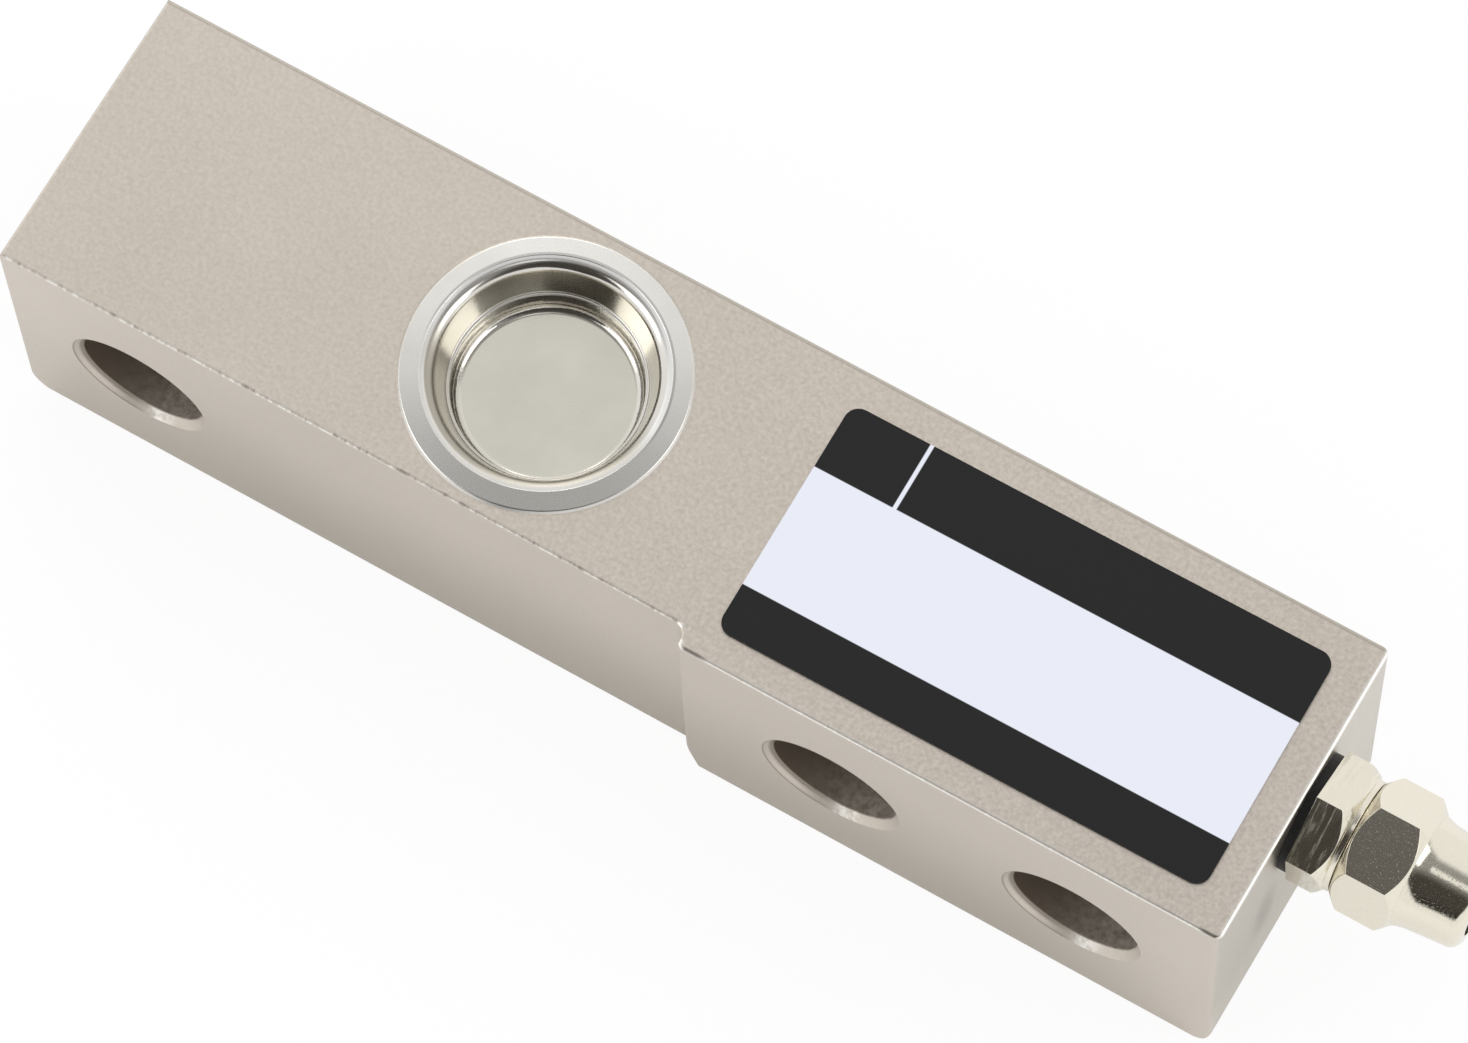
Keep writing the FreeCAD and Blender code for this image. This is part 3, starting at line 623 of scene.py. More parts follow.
@dataclass(frozen=True)
class PolishedNickel(Finish):
    """Bright nickel plating over turned brass, with mill streaks on the body and fine grain on the cap."""

    name: str = "polished_nickel"
    tint: Colour = (0.80, 0.755, 0.645)
    mark_share: float = 0.93
    roughness: float = 0.11
    mark_satin: float = 0.3
    cap_start: float = 0.0

    def shade(self, tree: ShaderTree) -> None:
        """Write the finish into an empty tree.

        Args:
            tree: tree of the new material.
        """
        x, _, _ = tree.place()
        cap = x.ramp(self.cap_start - 0.2, self.cap_start)
        streaks = tree.noise(2.6, detail=3.0, roughness=0.65, stretch=(1.0, 0.1, 0.1)).ramp(0.42, 0.75)
        specks = tree.noise(7.0, roughness=0.6).ramp(0.5, 0.8)
        marks = streaks * (1 - cap) + specks * cap
        colour = tree.mix(marks, self.tint, scaled(self.tint, self.mark_share))
        tree.surface(Base_Color=colour, Metallic=1.0, Roughness=self.roughness + self.mark_satin * marks,
                     Normal=tree.bump(marks, 0.004))


@dataclass(frozen=True)
class PrintedFilm(Finish):
    """Pale film with dark bands along its long sides, the upper one parted by a thin rule."""

    name: str = "printed_film"
    centre: tuple[float, float] = (0.0, 0.0)
    tilt: float = math.radians(0.33)
    paper: Colour = (0.736, 0.758, 0.835)
    ink: Colour = (0.013, 0.013, 0.013)
    gloss: float = 0.2
    roughness: float = 0.42
    lower_band: float = -7.64
    upper_band: float = 5.46
    rule_place: float = -16.75
    rule_width: float = 0.4
    print_edge: float = 0.05

    def shade(self, tree: ShaderTree) -> None:
        """Write the finish into an empty tree.

        Args:
            tree: tree of the new material.
        """
        x, y, _ = tree.place()
        across, up = x - self.centre[0], y - self.centre[1]
        across, up = across + self.tilt * up, up - self.tilt * across
        fibre = tree.noise(4.0)
        soft, half_rule = self.print_edge, self.rule_width / 2
        rule = abs(across - self.rule_place).ramp(half_rule - soft, half_rule + soft)
        upper = up.ramp(self.upper_band - soft, self.upper_band + soft) * rule
        bands = upper.or_else(up.ramp(self.lower_band + soft, self.lower_band - soft))
        colour = tree.mix(bands, self.paper, self.ink)
        tree.surface(Base_Color=colour, Roughness=self.roughness + fibre.swing * 0.1,
                     Specular_IOR_Level=self.gloss, Normal=tree.bump(fibre, 0.004))


@dataclass(frozen=True)
class Speckled(Finish):
    """Plain finish of two close colours, for rubber, enamel and ribbon."""

    name: str
    dark: Colour
    light: Colour
    per_mm: float = 2.0
    roughness: float = 0.5
    metallic: float = 0.0
    gloss: float = 0.5

    def shade(self, tree: ShaderTree) -> None:
        """Write the finish into an empty tree.

        Args:
            tree: tree of the new material.
        """
        grain = tree.noise(self.per_mm, detail=3.0)
        tree.surface(Base_Color=tree.mix(grain, self.dark, self.light), Metallic=self.metallic,
                     Specular_IOR_Level=self.gloss, Roughness=self.roughness + grain.swing * 0.15,
                     Normal=tree.bump(grain, 0.01))


@dataclass(frozen=True)
class FoilOnSheet(Finish):
    """Sheet of film or laminate with metal foil on the face above one level."""

    name: str
    sheet: Colour
    foil: Colour
    level: float
    weave: float = 3.0
    foil_edge: Span = (0.005, 0.02)
    roughness: float = 0.4
    foil_polish: float = 0.12

    def shade(self, tree: ShaderTree) -> None:
        """Write the finish into an empty tree.

        Args:
            tree: tree of the new material.
        """
        _, _, z = tree.place()
        metal = abs(z).ramp(*(self.level + edge for edge in self.foil_edge))
        grain = tree.noise(self.weave, detail=3.0)
        brushed = tree.noise(9.0, stretch=(1.0, 0.2, 1.0))
        colour = tree.mix(metal, tree.mix(grain, scaled(self.sheet, 0.75), self.sheet),
                          tree.mix(brushed, scaled(self.foil, 0.8), self.foil))
        tree.surface(Base_Color=colour, Metallic=metal,
                     Roughness=self.roughness - self.foil_polish * metal + grain.swing * 0.15,
                     Normal=tree.bump(grain + brushed * metal, 0.006))


@dataclass(frozen=True)
class ChipGlaze(Finish):
    """Dark glazed chip with tinned ends."""

    name: str
    middle: float
    half_length: float
    cap: float = 0.5
    cap_edge: float = 0.02
    roughness: float = 0.22
    tin_satin: float = 0.16
    glaze: Colour = (0.02, 0.022, 0.03)
    tin: Colour = (0.72, 0.71, 0.68)

    def shade(self, tree: ShaderTree) -> None:
        """Write the finish into an empty tree.

        Args:
            tree: tree of the new material.
        """
        x, _, _ = tree.place()
        inner = self.half_length - self.cap
        tinned = abs(x - self.middle).ramp(inner - self.cap_edge, inner + self.cap_edge)
        grain = tree.noise(6.0)
        glaze = tree.mix(grain, self.glaze, scaled(self.glaze, 2.0))
        colour = tree.mix(tinned, glaze, tree.mix(grain, scaled(self.tin, 0.8), self.tin))
        tree.surface(Base_Color=colour, Metallic=tinned,
                     Roughness=self.roughness + self.tin_satin * tinned + grain.swing * 0.1,
                     Normal=tree.bump(grain, 0.01))


@dataclass(frozen=True)
class PhotoCamera:
    """Camera of the photograph, fitted to the beam's edges in its frame."""

    eye: Vector = Vector((0.112568, -0.200667, 0.697404))
    aim: Vector = Vector((-0.030156, 0.012995, 0.0159))
    roll: float = math.radians(-3.687)
    focal_px: float = 8002.0
    frame_px: tuple[int, int] = (1468, 1043)
    sensor: float = 36.0
    clip: Span = (0.01, 100.0)

    def build(self) -> None:
        """Add the camera and make it the scene's own."""
        data = bpy.data.cameras.new("photo_camera")
        data.sensor_width = self.sensor
        data.lens = self.focal_px / max(self.frame_px) * self.sensor
        data.clip_start, data.clip_end = self.clip
        camera = bpy.data.objects.new("photo_camera", data)
        bpy.context.collection.objects.link(camera)
        camera.rotation_mode = "QUATERNION"
        camera.location = self.eye
        level = (self.aim - self.eye).to_track_quat("-Z", "Y")
        camera.rotation_quaternion = level @ Quaternion((0.0, 0.0, 1.0), self.roll)
        bpy.context.scene.camera = camera


class Ray(Enum):
    """Kinds of ray that can be kept from seeing an object."""

    CAMERA = "visible_camera"
    DIFFUSE = "visible_diffuse"
    SHADOW = "visible_shadow"


@dataclass(frozen=True)
class Softbox:
    """Rectangular lamp that points at the beam."""

    name: str
    place: Vector
    size: tuple[float, float]
    level: float

    def build(self, target: Vector) -> None:
        """Add the lamp.

        Args:
            target: point that the lamp faces.
        """
        data = bpy.data.lights.new(self.name, "AREA")
        data.shape = "RECTANGLE"
        data.size, data.size_y = self.size
        data.energy = self.level * math.pi * self.size[0] * self.size[1]
        lamp = bpy.data.objects.new(self.name, data)
        bpy.context.collection.objects.link(lamp)
        lamp.location = self.place
        lamp.rotation_mode = "QUATERNION"
        lamp.rotation_quaternion = (target - self.place).to_track_quat("-Z", "Y")


@dataclass(frozen=True)
class Studio:
    """White floor and surroundings, soft lamps, and a tent with a dark gap, sized in shares of its radius."""

    fill: float = 0.85
    floor_size: float = 8.0
    floor_white: Colour = (0.95, 0.95, 0.95)
    floor_glow: float = 0.9
    floor_shine: float = 0.2
    tent_radius: float = 3.5
    tent_sides: int = 48
    gap_level: Colour = (0.064, 0.059, 0.053)
    gap_deep: float = 0.5
    deep_edge: Span = (0.3, 0.6)
    gap_slant: float = 0.41
    gap_edge: Span = (0.45, 0.21)
    gap_left: Span = (-0.65, -0.35)
    gap_foot: Span = (0.12, 0.24)
    foot_middle: float = 0.03
    foot_slope: float = 0.55
    foot_top: float = 0.25
    haze: float = 0.3
    haze_edge: Span = (-0.45, -0.05)
    port: tuple[float, float] = (0.06, -0.06)
    port_edge: Span = (0.13, 0.08)
    lamps: tuple[Softbox, ...] = (
        Softbox("back_softbox", Vector((-1.3, 1.7, 1.3)), (1.3, 1.1), 1.7),
        Softbox("side_softbox", Vector((1.72, 0.52, 1.48)), (1.45, 1.3), 1.75),
        Softbox("front_softbox", Vector((-1.41, -1.17, 1.6)), (1.4, 1.4), 1.5),
    )

    def build(self) -> None:
        """Add the surroundings, the floor, the tent and the lamps."""
        bpy.context.scene.view_settings.view_transform = "Standard"
        low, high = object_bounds()
        self.light_world()
        self.lay_floor(low.z)
        self.raise_tent()
        for lamp in self.lamps:
            lamp.build((low + high) / 2)

    def light_world(self) -> None:
        """White surroundings for the eye and for metal, with less light on the object."""
        world = bpy.data.worlds.new("white_room")
        bpy.context.scene.world = world
        tree = ShaderTree(world)
        seen = tree.seen_ray()
        light = tree.node("ShaderNodeBackground", inputs={
            "Color": WHITE, "Strength": self.fill + (1 - self.fill) * seen})
        tree.node("ShaderNodeOutputWorld", inputs={"Surface": light})

    def lay_floor(self, level: float) -> None:
        """Floor under the part, nearly white to the eye and with a soft shadow.

        Args:
            level: height of the floor.
        """
        bpy.ops.object.select_all(action="DESELECT")
        bpy.ops.mesh.primitive_plane_add(size=self.floor_size, location=(0, 0, level))
        floor = bpy.context.object
        floor.name = "pale_floor"
        material = bpy.data.materials.new("pale_floor")
        tree = ShaderTree(material)
        matt = tree.node("ShaderNodeBsdfDiffuse", inputs={"Color": (*self.floor_white, 1.0)})
        glow = tree.node("ShaderNodeEmission", inputs={"Strength": 1.0})
        path = tree.node("ShaderNodeLightPath", output="Is Camera Ray")
        others = path.output("Is Glossy Ray").or_else(path.output("Is Transmission Ray"))
        share = (self.floor_glow * path).or_else(self.floor_shine * others)
        blend = tree.node("ShaderNodeMixShader", inputs={0: share, 1: matt, 2: glow})
        tree.node("ShaderNodeOutputMaterial", inputs={"Surface": blend})
        floor.data.materials.append(material)
        floor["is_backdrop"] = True

    def raise_tent(self) -> None:
        """Light tent round the part: clear, but for the dark gap on the lens side that metal shows."""
        bpy.ops.object.select_all(action="DESELECT")
        bpy.ops.mesh.primitive_uv_sphere_add(segments=self.tent_sides, ring_count=self.tent_sides // 2,
                                             radius=self.tent_radius)
        tent = bpy.context.object
        tent.name = "light_tent"
        for ray in Ray:
            setattr(tent, ray.value, False)
        material = bpy.data.materials.new("light_tent")
        tree = ShaderTree(material)
        x, y, z = (part * (MM / self.tent_radius) for part in tree.place())
        lens_side = (y - self.gap_slant * x).ramp(*self.gap_edge) * x.ramp(*self.gap_left)
        foot = tree.math("MINIMUM", self.foot_slope * abs(x - self.foot_middle), self.foot_top)
        port = tree.distance(x - self.port[0], y - self.port[1]).ramp(*self.port_edge)
        hazed = 1 - self.haze * y.ramp(*self.haze_edge)
        gap = lens_side * (z - foot).ramp(*self.gap_foot) * hazed * (1 - port)
        clear = tree.node("ShaderNodeBsdfTransparent")
        colour = (*self.gap_level, 1.0)
        deep, faint = (tree.node("ShaderNodeEmission", inputs={"Color": colour, "Strength": level})
                       for level in (self.gap_deep, 1.0))
        dark = tree.node("ShaderNodeMixShader", inputs={0: z.ramp(*self.deep_edge), 1: deep, 2: faint})
        blend = tree.node("ShaderNodeMixShader", inputs={0: gap, 1: clear, 2: dark})
        tree.node("ShaderNodeOutputMaterial", inputs={"Surface": blend})
        tent.data.materials.append(material)
        tent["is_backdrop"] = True


class Axis(Enum):
    """Line that a piece is turned about."""

    X = (1.0, 0.0, 0.0)
    Z = (0.0, 0.0, 1.0)

    def along(self, length: float) -> Vector:
        """Step of that length along the axis."""
        return Vector(self.value) * length

    def swell(self, factor: float) -> Vector:
        """Scale across the axis, with nothing changed along it."""
        return Vector(factor + (1 - factor) * part for part in self.value)

    def facing(self, turn: float = 0.0) -> Euler:
        """Rotation that points Z along the axis, after a turn about it."""
        tilt = Matrix.Rotation(math.pi / 2, 3, "Y") if self is Axis.X else Matrix.Identity(3)
        return (Matrix.Rotation(turn, 3, self.name) @ tilt).to_euler()


@dataclass(frozen=True)
class Corner:
    """Corner of a turned section in millimetres: off the axis, along it, and its cut-back."""

    radius: float
    level: float
    cut: float = 0.0


@dataclass(frozen=True)
class Lathe:
    """Turns closed sections about one axis, ring by ring."""

    axis: Axis
    origin: Vector
    sides: int = 144
    arc_cuts: int = 6

    def spot(self, level: float) -> Vector:
        """Point of the axis at a level in millimetres."""
        return self.origin + self.axis.along(level * MM)

    def turn(self, name: str, section: Sequence[Corner], capped: bool = False) -> bpy.types.Object:
        """Extrude a circle from corner to corner, then round the corners.

        Args:
            name: name of the new piece.
            section: corners, in order.
            capped: the first and last rings are filled, and not joined to each other.

        Returns:
            The turned piece.
        """
        first = section[0]
        bpy.ops.object.select_all(action="DESELECT")
        bpy.ops.mesh.primitive_circle_add(vertices=self.sides, radius=first.radius * MM,
                                          location=self.spot(first.level), rotation=self.axis.facing())
        piece = bpy.context.object
        piece.name = piece.data.name = name
        bpy.ops.object.transform_apply(location=True, rotation=True, scale=True)
        bpy.ops.object.mode_set(mode="EDIT")
        bpy.ops.mesh.select_all(action="SELECT")
        for last, corner in zip(section, section[1:] if capped else [*section[1:], first]):
            step = self.axis.along((corner.level - last.level) * MM)
            bpy.ops.mesh.extrude_edges_move(TRANSFORM_OT_translate={"value": step})
            bpy.ops.transform.resize(value=self.axis.swell(corner.radius / last.radius),
                                     center_override=self.spot(corner.level))
        if capped:
            bpy.ops.mesh.edge_face_add()
            self.select_ring(piece, first)
            bpy.ops.mesh.edge_face_add()
        bpy.ops.mesh.select_all(action="SELECT")
        bpy.ops.mesh.remove_doubles(threshold=MERGE)
        bpy.ops.mesh.normals_make_consistent(inside=False)
        for corner in section:
            if corner.cut:
                self.select_ring(piece, corner)
                bpy.ops.mesh.bevel(offset=corner.cut * MM, segments=self.arc_cuts, affect="EDGES")
        bpy.ops.object.mode_set(mode="OBJECT")
        return piece

    def select_ring(self, piece: bpy.types.Object, corner: Corner) -> None:
        """Select the ring of edges at one corner.

        Args:
            piece: mesh in edit mode.
            corner: corner that the ring was drawn for.
        """
        mesh = bmesh.from_edit_mesh(piece.data)
        bpy.ops.mesh.select_all(action="DESELECT")
        centre = self.spot(corner.level)
        for edge in mesh.edges:
            arms = [vert.co - centre for vert in edge.verts]
            if all(abs(arm.dot(self.axis.value)) < TOUCH
                   and abs(arm.length - corner.radius * MM) < TOUCH for arm in arms):
                edge.select_set(True)
        mesh.select_flush_mode()
        bmesh.update_edit_mesh(piece.data)


class Cut(Enum):
    """Ways of working one solid with another."""

    KEEP_COMMON = "INTERSECT"
    JOIN = "UNION"
    TAKE_AWAY = "DIFFERENCE"


def work(piece: bpy.types.Object, tool: bpy.types.Object, cut: Cut) -> None:
    """Work a piece with a tool solid, which is then thrown away.

    Args:
        piece: piece that is kept.
        tool: solid that shapes it.
        cut: how it does so.
    """
    modifier = piece.modifiers.new(cut.name, "BOOLEAN")
    modifier.operation = cut.value
    modifier.object = tool
    modifier.solver = "EXACT"
    apply(piece, modifier)
    bpy.data.objects.remove(tool)


def apply(piece: bpy.types.Object, modifier: bpy.types.Modifier) -> None:
    """Apply one modifier of a piece.

    Args:
        piece: piece that the modifier is on.
        modifier: modifier to apply.
    """
    bpy.ops.object.select_all(action="DESELECT")
    piece.select_set(True)
    bpy.context.view_layer.objects.active = piece
    bpy.ops.object.modifier_apply(modifier=modifier.name)


def soften(piece: bpy.types.Object, width: float) -> None:
    """Break the sharp edges of a piece and smooth its round faces.

    Args:
        piece: piece to finish.
        width: width of the broken edge in millimetres.
    """
    clean(piece, width / 2 * MM)
    modifier = piece.modifiers.new("broken_edges", "BEVEL")
    modifier.width = width * MM
    modifier.segments = EDGE_CUTS
    modifier.limit_method = "ANGLE"
    modifier.angle_limit = BROKEN_ANGLE
    apply(piece, modifier)
    clean(piece, MERGE)
    even(piece, SHARP_ANGLE)


def clean(piece: bpy.types.Object, least: float) -> None:
    """Merge the corners of a piece that lie closer than one length, in an order that each run repeats.

    Args:
        piece: piece to clean.
        least: shortest edge that is kept.
    """
    bpy.context.view_layer.objects.active = piece
    bpy.context.scene.cursor.location = SORT_POINT
    bpy.ops.object.mode_set(mode="EDIT")
    bpy.ops.mesh.select_all(action="SELECT")
    bpy.ops.mesh.sort_elements(type="CURSOR_DISTANCE", elements={"VERT", "EDGE", "FACE"})
    bpy.ops.mesh.remove_doubles(threshold=least)
    bpy.ops.mesh.dissolve_degenerate(threshold=least / 10)
    bpy.ops.mesh.normals_make_consistent(inside=False)
    bpy.ops.object.mode_set(mode="OBJECT")


def even(piece: bpy.types.Object, angle: float) -> None:
    """Smooth the round faces of a piece, and let its broad faces lead the shading.

    Args:
        piece: piece to finish.
        angle: least angle of an edge that stays sharp.
    """
    bpy.ops.object.shade_smooth_by_angle(angle=angle)
    modifier = piece.modifiers.new("even_normals", "WEIGHTED_NORMAL")
    modifier.keep_sharp = True
    apply(piece, modifier)


def fit(piece: bpy.types.Object, node: str) -> None:
    """Let a finished piece stand for a node.

    Args:
        piece: finished piece.
        node: node that it stands for.
    """
    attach(piece, BODY)
    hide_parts(node)
    LOG.info("%s stands for %s with %d faces", piece.name, node, len(piece.data.polygons))


@dataclass(frozen=True)
class SealCups:
    """Drawn cups that close the gauge pockets, one in each side."""

    sheet: float = 0.5
    floor: float = 8.85
    floor_cut: float = 0.8
    wall_depth: float = 3.4
    step: float = 0.3
    step_cut: float = 0.1
    neck: float = 9.35
    neck_cut: float = 0.12
    neck_back_cut: float = 0.2
    lip: float = 10.6
    lip_cut: float = 0.8
    band: float = 11.65
    band_drop: float = 0.05
    band_cut: float = 0.02
    rim: float = 0.26
    rim_drop: float = 0.2
    rim_cut: float = 0.08
    sharp_angle: float = math.radians(40)

    def build(self) -> None:
        """Turn the front cup, copy it to the rear, and dress both."""
        low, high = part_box("front_seal_cup")
        middle = (low + high) / 2
        front = self.draw(Lathe(Axis.Z, Vector((middle.x, middle.y, high.z))),
                          (high.x - low.x) / 2 / MM, (high.z - low.z) / MM)
        bpy.ops.object.duplicate(linked=False)
        rear = bpy.context.object
        rear.name = rear.data.name = "rear_drawn_cup"
        bpy.ops.object.mode_set(mode="EDIT")
        bpy.ops.mesh.select_all(action="SELECT")
        bpy.ops.transform.rotate(value=math.pi, orient_axis="X", center_override=(middle.x, middle.y, 0.0))
        bpy.ops.object.mode_set(mode="OBJECT")
        finish = DrawnStainless(axis=(middle.x / MM, middle.y / MM), face=high.z / MM)
        finish.cover(front, rear, frame["nodes"]["front_seal_cup"], frame["nodes"]["rear_seal_cup"])
        fit(front, "front_seal_cup")
        fit(rear, "rear_seal_cup")

    def draw(self, lathe: Lathe, flange: float, depth: float) -> bpy.types.Object:
        """Turn one cup with its mouth at level 0.

        Args:
            lathe: lathe on the cup's axis.
            flange: outer radius of the flange.
            depth: whole depth, with the sheet.

        Returns:
            The cup.
        """
        sheet, inside, wall = self.sheet, self.sheet - depth, -self.wall_depth
        section = [
            Corner(self.floor / 2, inside),
            Corner(self.floor, inside, self.floor_cut),
            Corner(self.neck - self.step, wall, self.step_cut),
            Corner(self.neck, wall, self.neck_cut),
            Corner(self.lip, -self.band_drop, self.lip_cut),
            Corner(self.band, -self.band_drop, self.band_cut),
            Corner(self.band + self.band_drop, 0.0, self.band_cut),
            Corner(flange - self.rim, -self.rim_drop, self.rim_cut),
            Corner(flange, -sheet),
            Corner(self.lip + sheet, -sheet, self.lip_cut / 2),
            Corner(self.neck + sheet, wall, self.neck_back_cut),
            Corner(self.floor + sheet, -depth, self.floor_cut),
            Corner(self.floor / 2, -depth),
        ]
        cup = lathe.turn("front_drawn_cup", section, capped=True)
        even(cup, self.sharp_angle)
        return cup


@dataclass(frozen=True)
class CableGland:
    """Hexagonal gland body and cap nut, on an axis across the cable end."""

    hexagon: float = 11.7
    hexagon_chamfer: float = 0.2
    envelope: float = 0.62
    overlap: float = 1.0
    body_turn: float = math.radians(35)
    cap_turn: float = math.radians(18)
    gasket: float = 0.9
    body_hexagon_end: float = 4.6
    collar: float = 5.6
    collar_end: float = 5.15
    collar_cut: float = 0.15
    neck: float = 4.7
    neck_play: float = 0.1
    stub: float = 4.0
    bore: float = 2.8
    seal_seat: tuple[float, float] = (3.9, 7.1)
    cap_start: float = 5.25
    cap_hexagon_end: float = 11.45
    nose_root: float = 5.6
    nose_wall: float = 0.6
    nose_flare: float = 0.35
    flare_length: float = 1.0
    flare_cut: float = 0.5
    nose_tip: float = 4.8
    nose_cut: float = 1.05
    mouth: float = 3.2
    thread_cut: float = 0.5
    edge: float = 0.07

    def build(self) -> None:
        """Make the body and the cap nut, and dress the gland."""
        low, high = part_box("gland_gasket")
        middle = (low + high) / 2
        lathe = Lathe(Axis.X, Vector((low.x, middle.y, middle.z)), sides=96)
        nodes = frame["nodes"]
        body, cap = self.make_body(lathe), self.make_cap(lathe)
        PolishedNickel(cap_start=lathe.spot(self.cap_start).x / MM).cover(
            body, cap, nodes["gland_body"], nodes["gland_cap_nut"], nodes["gland_thrust_washer"])
        fit(body, "gland_body")
        fit(cap, "gland_cap_nut")

    def bar(self, lathe: Lathe, name: str, start: float, end: float, turn: float) -> bpy.types.Object:
        """Length of hexagon bar.

        Args:
            lathe: lathe on the gland's axis.
            name: name of the new piece.
            start: level of its first face.
            end: level of its other face.
            turn: angle of its first corner.

        Returns:
            The bar.
        """
        bpy.ops.object.select_all(action="DESELECT")
        bpy.ops.mesh.primitive_cylinder_add(
            vertices=6, radius=self.hexagon / math.sqrt(3) * MM, depth=(end - start) * MM,
            location=lathe.spot((start + end) / 2), rotation=Axis.X.facing(turn))
        piece = bpy.context.object
        piece.name = piece.data.name = name
        bpy.ops.object.transform_apply(location=True, rotation=True, scale=True)
        return piece

    def barrel(self, lathe: Lathe, start: float, end: float, both: bool) -> bpy.types.Object:
        """Turned envelope that takes the corners off a bar's ends.

        Args:
            lathe: lathe on the gland's axis.
            start: level of the bar's first face.
            end: level of its other face.
            both: the first face is chamfered too.

        Returns:
            The envelope.
        """
        wide = self.hexagon * self.envelope
        face = self.hexagon / 2 - self.hexagon_chamfer
        section = [Corner(face, start), Corner(wide, start + wide - face)] if both else [Corner(wide, start)]
        section += [Corner(wide, end - wide + face), Corner(face, end)]
        return lathe.turn("envelope", section, capped=True)

    def make_body(self, lathe: Lathe) -> bpy.types.Object:
        """Body: stub, hexagon, collar and neck, bored through.

        Args:
            lathe: lathe on the gland's axis.

        Returns:
            The body.
        """
        low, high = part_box("gland_body")
        stub_start, neck_end = ((corner.x - lathe.origin.x) / MM for corner in (low, high))
        body = self.bar(lathe, "gland_turned_body", self.gasket, self.body_hexagon_end, self.body_turn)
        work(body, self.barrel(lathe, self.gasket, self.body_hexagon_end, False), Cut.KEEP_COMMON)
        cut, inner = self.thread_cut, self.body_hexagon_end - self.overlap
        turned = lathe.turn("turned", [
            Corner(self.stub - cut, stub_start), Corner(self.stub, stub_start + cut),
            Corner(self.stub, inner), Corner(self.collar, inner),
            Corner(self.collar, self.collar_end, self.collar_cut), Corner(self.neck, self.collar_end),
            Corner(self.neck, neck_end - cut), Corner(self.neck - cut, neck_end)], capped=True)
        work(body, turned, Cut.JOIN)
        seat, seat_start = self.seal_seat
        passage = lathe.turn("passage", [
            Corner(self.bore, stub_start - self.overlap), Corner(self.bore, seat_start),
            Corner(seat, seat_start), Corner(seat, neck_end + self.overlap)], capped=True)
        work(body, passage, Cut.TAKE_AWAY)
        soften(body, self.edge)
        return body

    def make_cap(self, lathe: Lathe) -> bpy.types.Object:
        """Cap nut: hexagon with a tapered nose, hollow for the neck and the seal.

        Args:
            lathe: lathe on the gland's axis.

        Returns:
            The cap nut.
        """
        end = (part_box("gland_cap_nut")[1].x - lathe.origin.x) / MM
        cap = self.bar(lathe, "gland_turned_cap", self.cap_start, self.cap_hexagon_end, self.cap_turn)
        work(cap, self.barrel(lathe, self.cap_start, self.cap_hexagon_end, True), Cut.KEEP_COMMON)
        inner, flare_end = self.cap_hexagon_end - self.overlap, self.cap_hexagon_end + self.flare_length
        nose = lathe.turn("nose", [
            Corner(self.nose_root - self.nose_wall, inner), Corner(self.nose_root, inner),
            Corner(self.nose_root, self.cap_hexagon_end),
            Corner(self.nose_root - self.nose_flare, flare_end, self.flare_cut),
            Corner(self.nose_tip, end, self.nose_cut), Corner(self.mouth, end)], capped=True)
        work(cap, nose, Cut.JOIN)
        seat = (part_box("gland_thrust_washer")[1].x - lathe.origin.x) / MM
        wide = self.neck + self.neck_play
        hollow = lathe.turn("hollow", [
            Corner(wide, self.cap_start - self.overlap), Corner(wide, seat), Corner(self.mouth, seat),
            Corner(self.mouth, end + self.overlap)], capped=True)
        work(cap, hollow, Cut.TAKE_AWAY)
        soften(cap, self.edge)
        return cap


@dataclass(frozen=True)
class BeamBlock:
    """Milled beam with its bores, and the label stuck on its side."""

    def build(self) -> None:
        """Dress the beam and the label."""
        low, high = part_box("rating_label")
        middle = (low + high) / 2 / MM
        BlastedNickel().cover(frame["nodes"]["beam_body"])
        PrintedFilm(centre=(middle.x, middle.y)).cover(frame["nodes"]["rating_label"])


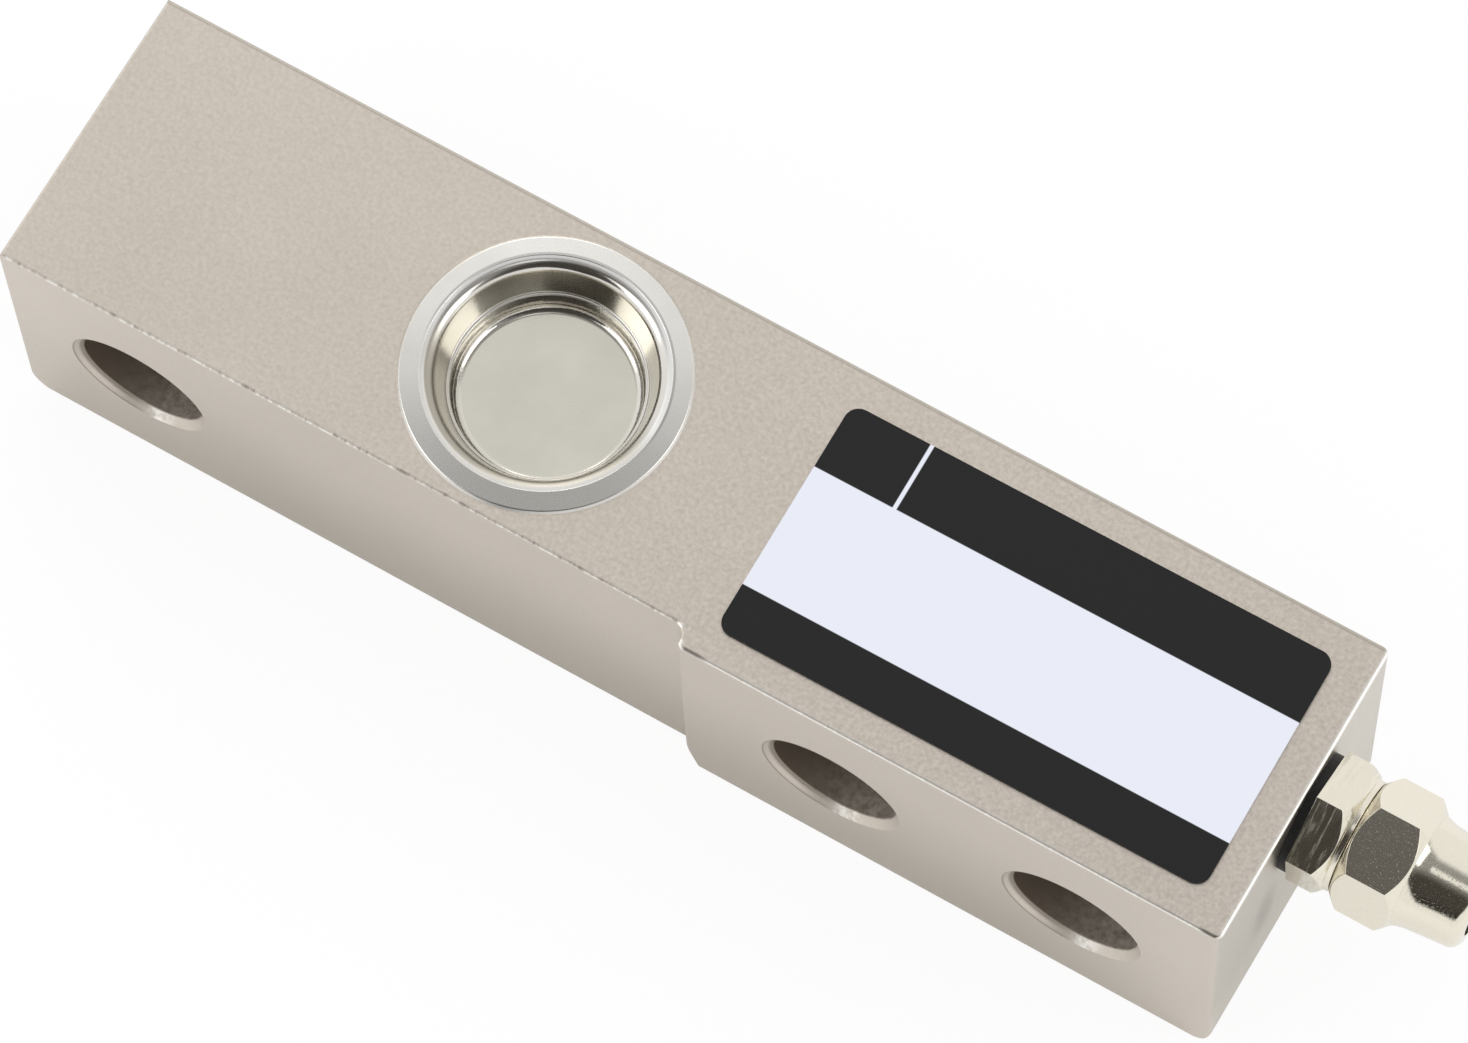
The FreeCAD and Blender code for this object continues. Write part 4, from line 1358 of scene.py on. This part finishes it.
@dataclass(frozen=True)
class GaugeCircuit:
    """Strain gauges, their wiring and the compensation board in the pockets, and the gland's rubber."""

    film_level: float = 1.6
    amber: Colour = (0.55, 0.30, 0.06)
    foil: Colour = (0.60, 0.53, 0.45)
    copper: Colour = (0.83, 0.48, 0.30)
    green: Colour = (0.03, 0.20, 0.08)
    tin: Colour = (0.74, 0.72, 0.68)
    dull_tin: Colour = (0.62, 0.58, 0.5)
    enamel: tuple[Colour, Colour] = ((0.34, 0.10, 0.03), (0.5, 0.17, 0.05))
    rubber: tuple[Colour, Colour] = ((0.008, 0.008, 0.008), (0.02, 0.02, 0.02))
    sides: ClassVar[tuple[str, ...]] = ("front", "rear")
    chips: ClassVar[tuple[str, ...]] = ("span_set_resistor", "zero_balance_resistor",
                                        "supply_modulus_resistor", "return_modulus_resistor")
    board_pad: float = 0.05

    def build(self) -> None:
        """Dress every piece of the circuit."""
        nodes = frame["nodes"]
        board_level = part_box("compensation_board")[1].z / MM - self.board_pad
        FoilOnSheet("gauge_film", self.amber, self.foil, self.film_level).cover(
            *(nodes[f"{side}_strain_gauge"] for side in self.sides))
        FoilOnSheet("terminal_film", self.amber, self.copper, self.film_level).cover(
            *(nodes[f"{side}_terminal_strip"] for side in self.sides))
        Speckled("tinned_ribbon", self.dull_tin, self.tin, per_mm=6.0, roughness=0.3, metallic=1.0).cover(
            *(nodes[f"{side}_gauge_leads"] for side in self.sides))
        Speckled("enamelled_wire", *self.enamel, per_mm=5.0, roughness=0.25).cover(
            nodes["crossover_wires"], nodes["bridge_wires"])
        FoilOnSheet("circuit_laminate", self.green, self.tin, board_level, weave=5.0).cover(
            nodes["compensation_board"])
        Speckled("black_rubber", *self.rubber, gloss=0.2).cover(
            nodes["gland_gasket"], nodes["gland_seal_insert"])
        for chip in self.chips:
            low, high = (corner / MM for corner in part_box(chip))
            ChipGlaze(f"{chip}_glaze", (low.x + high.x) / 2, (high.x - low.x) / 2).cover(nodes[chip])


def main() -> None:
    """Build the studio and the camera, and dress the part."""
    logging.basicConfig(level=logging.INFO, format="%(message)s")
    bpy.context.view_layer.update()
    for assembly in (PhotoCamera(), Studio(), BeamBlock(), SealCups(), CableGland(), GaugeCircuit()):
        assembly.build()


if __name__ == "__main__":
    main()
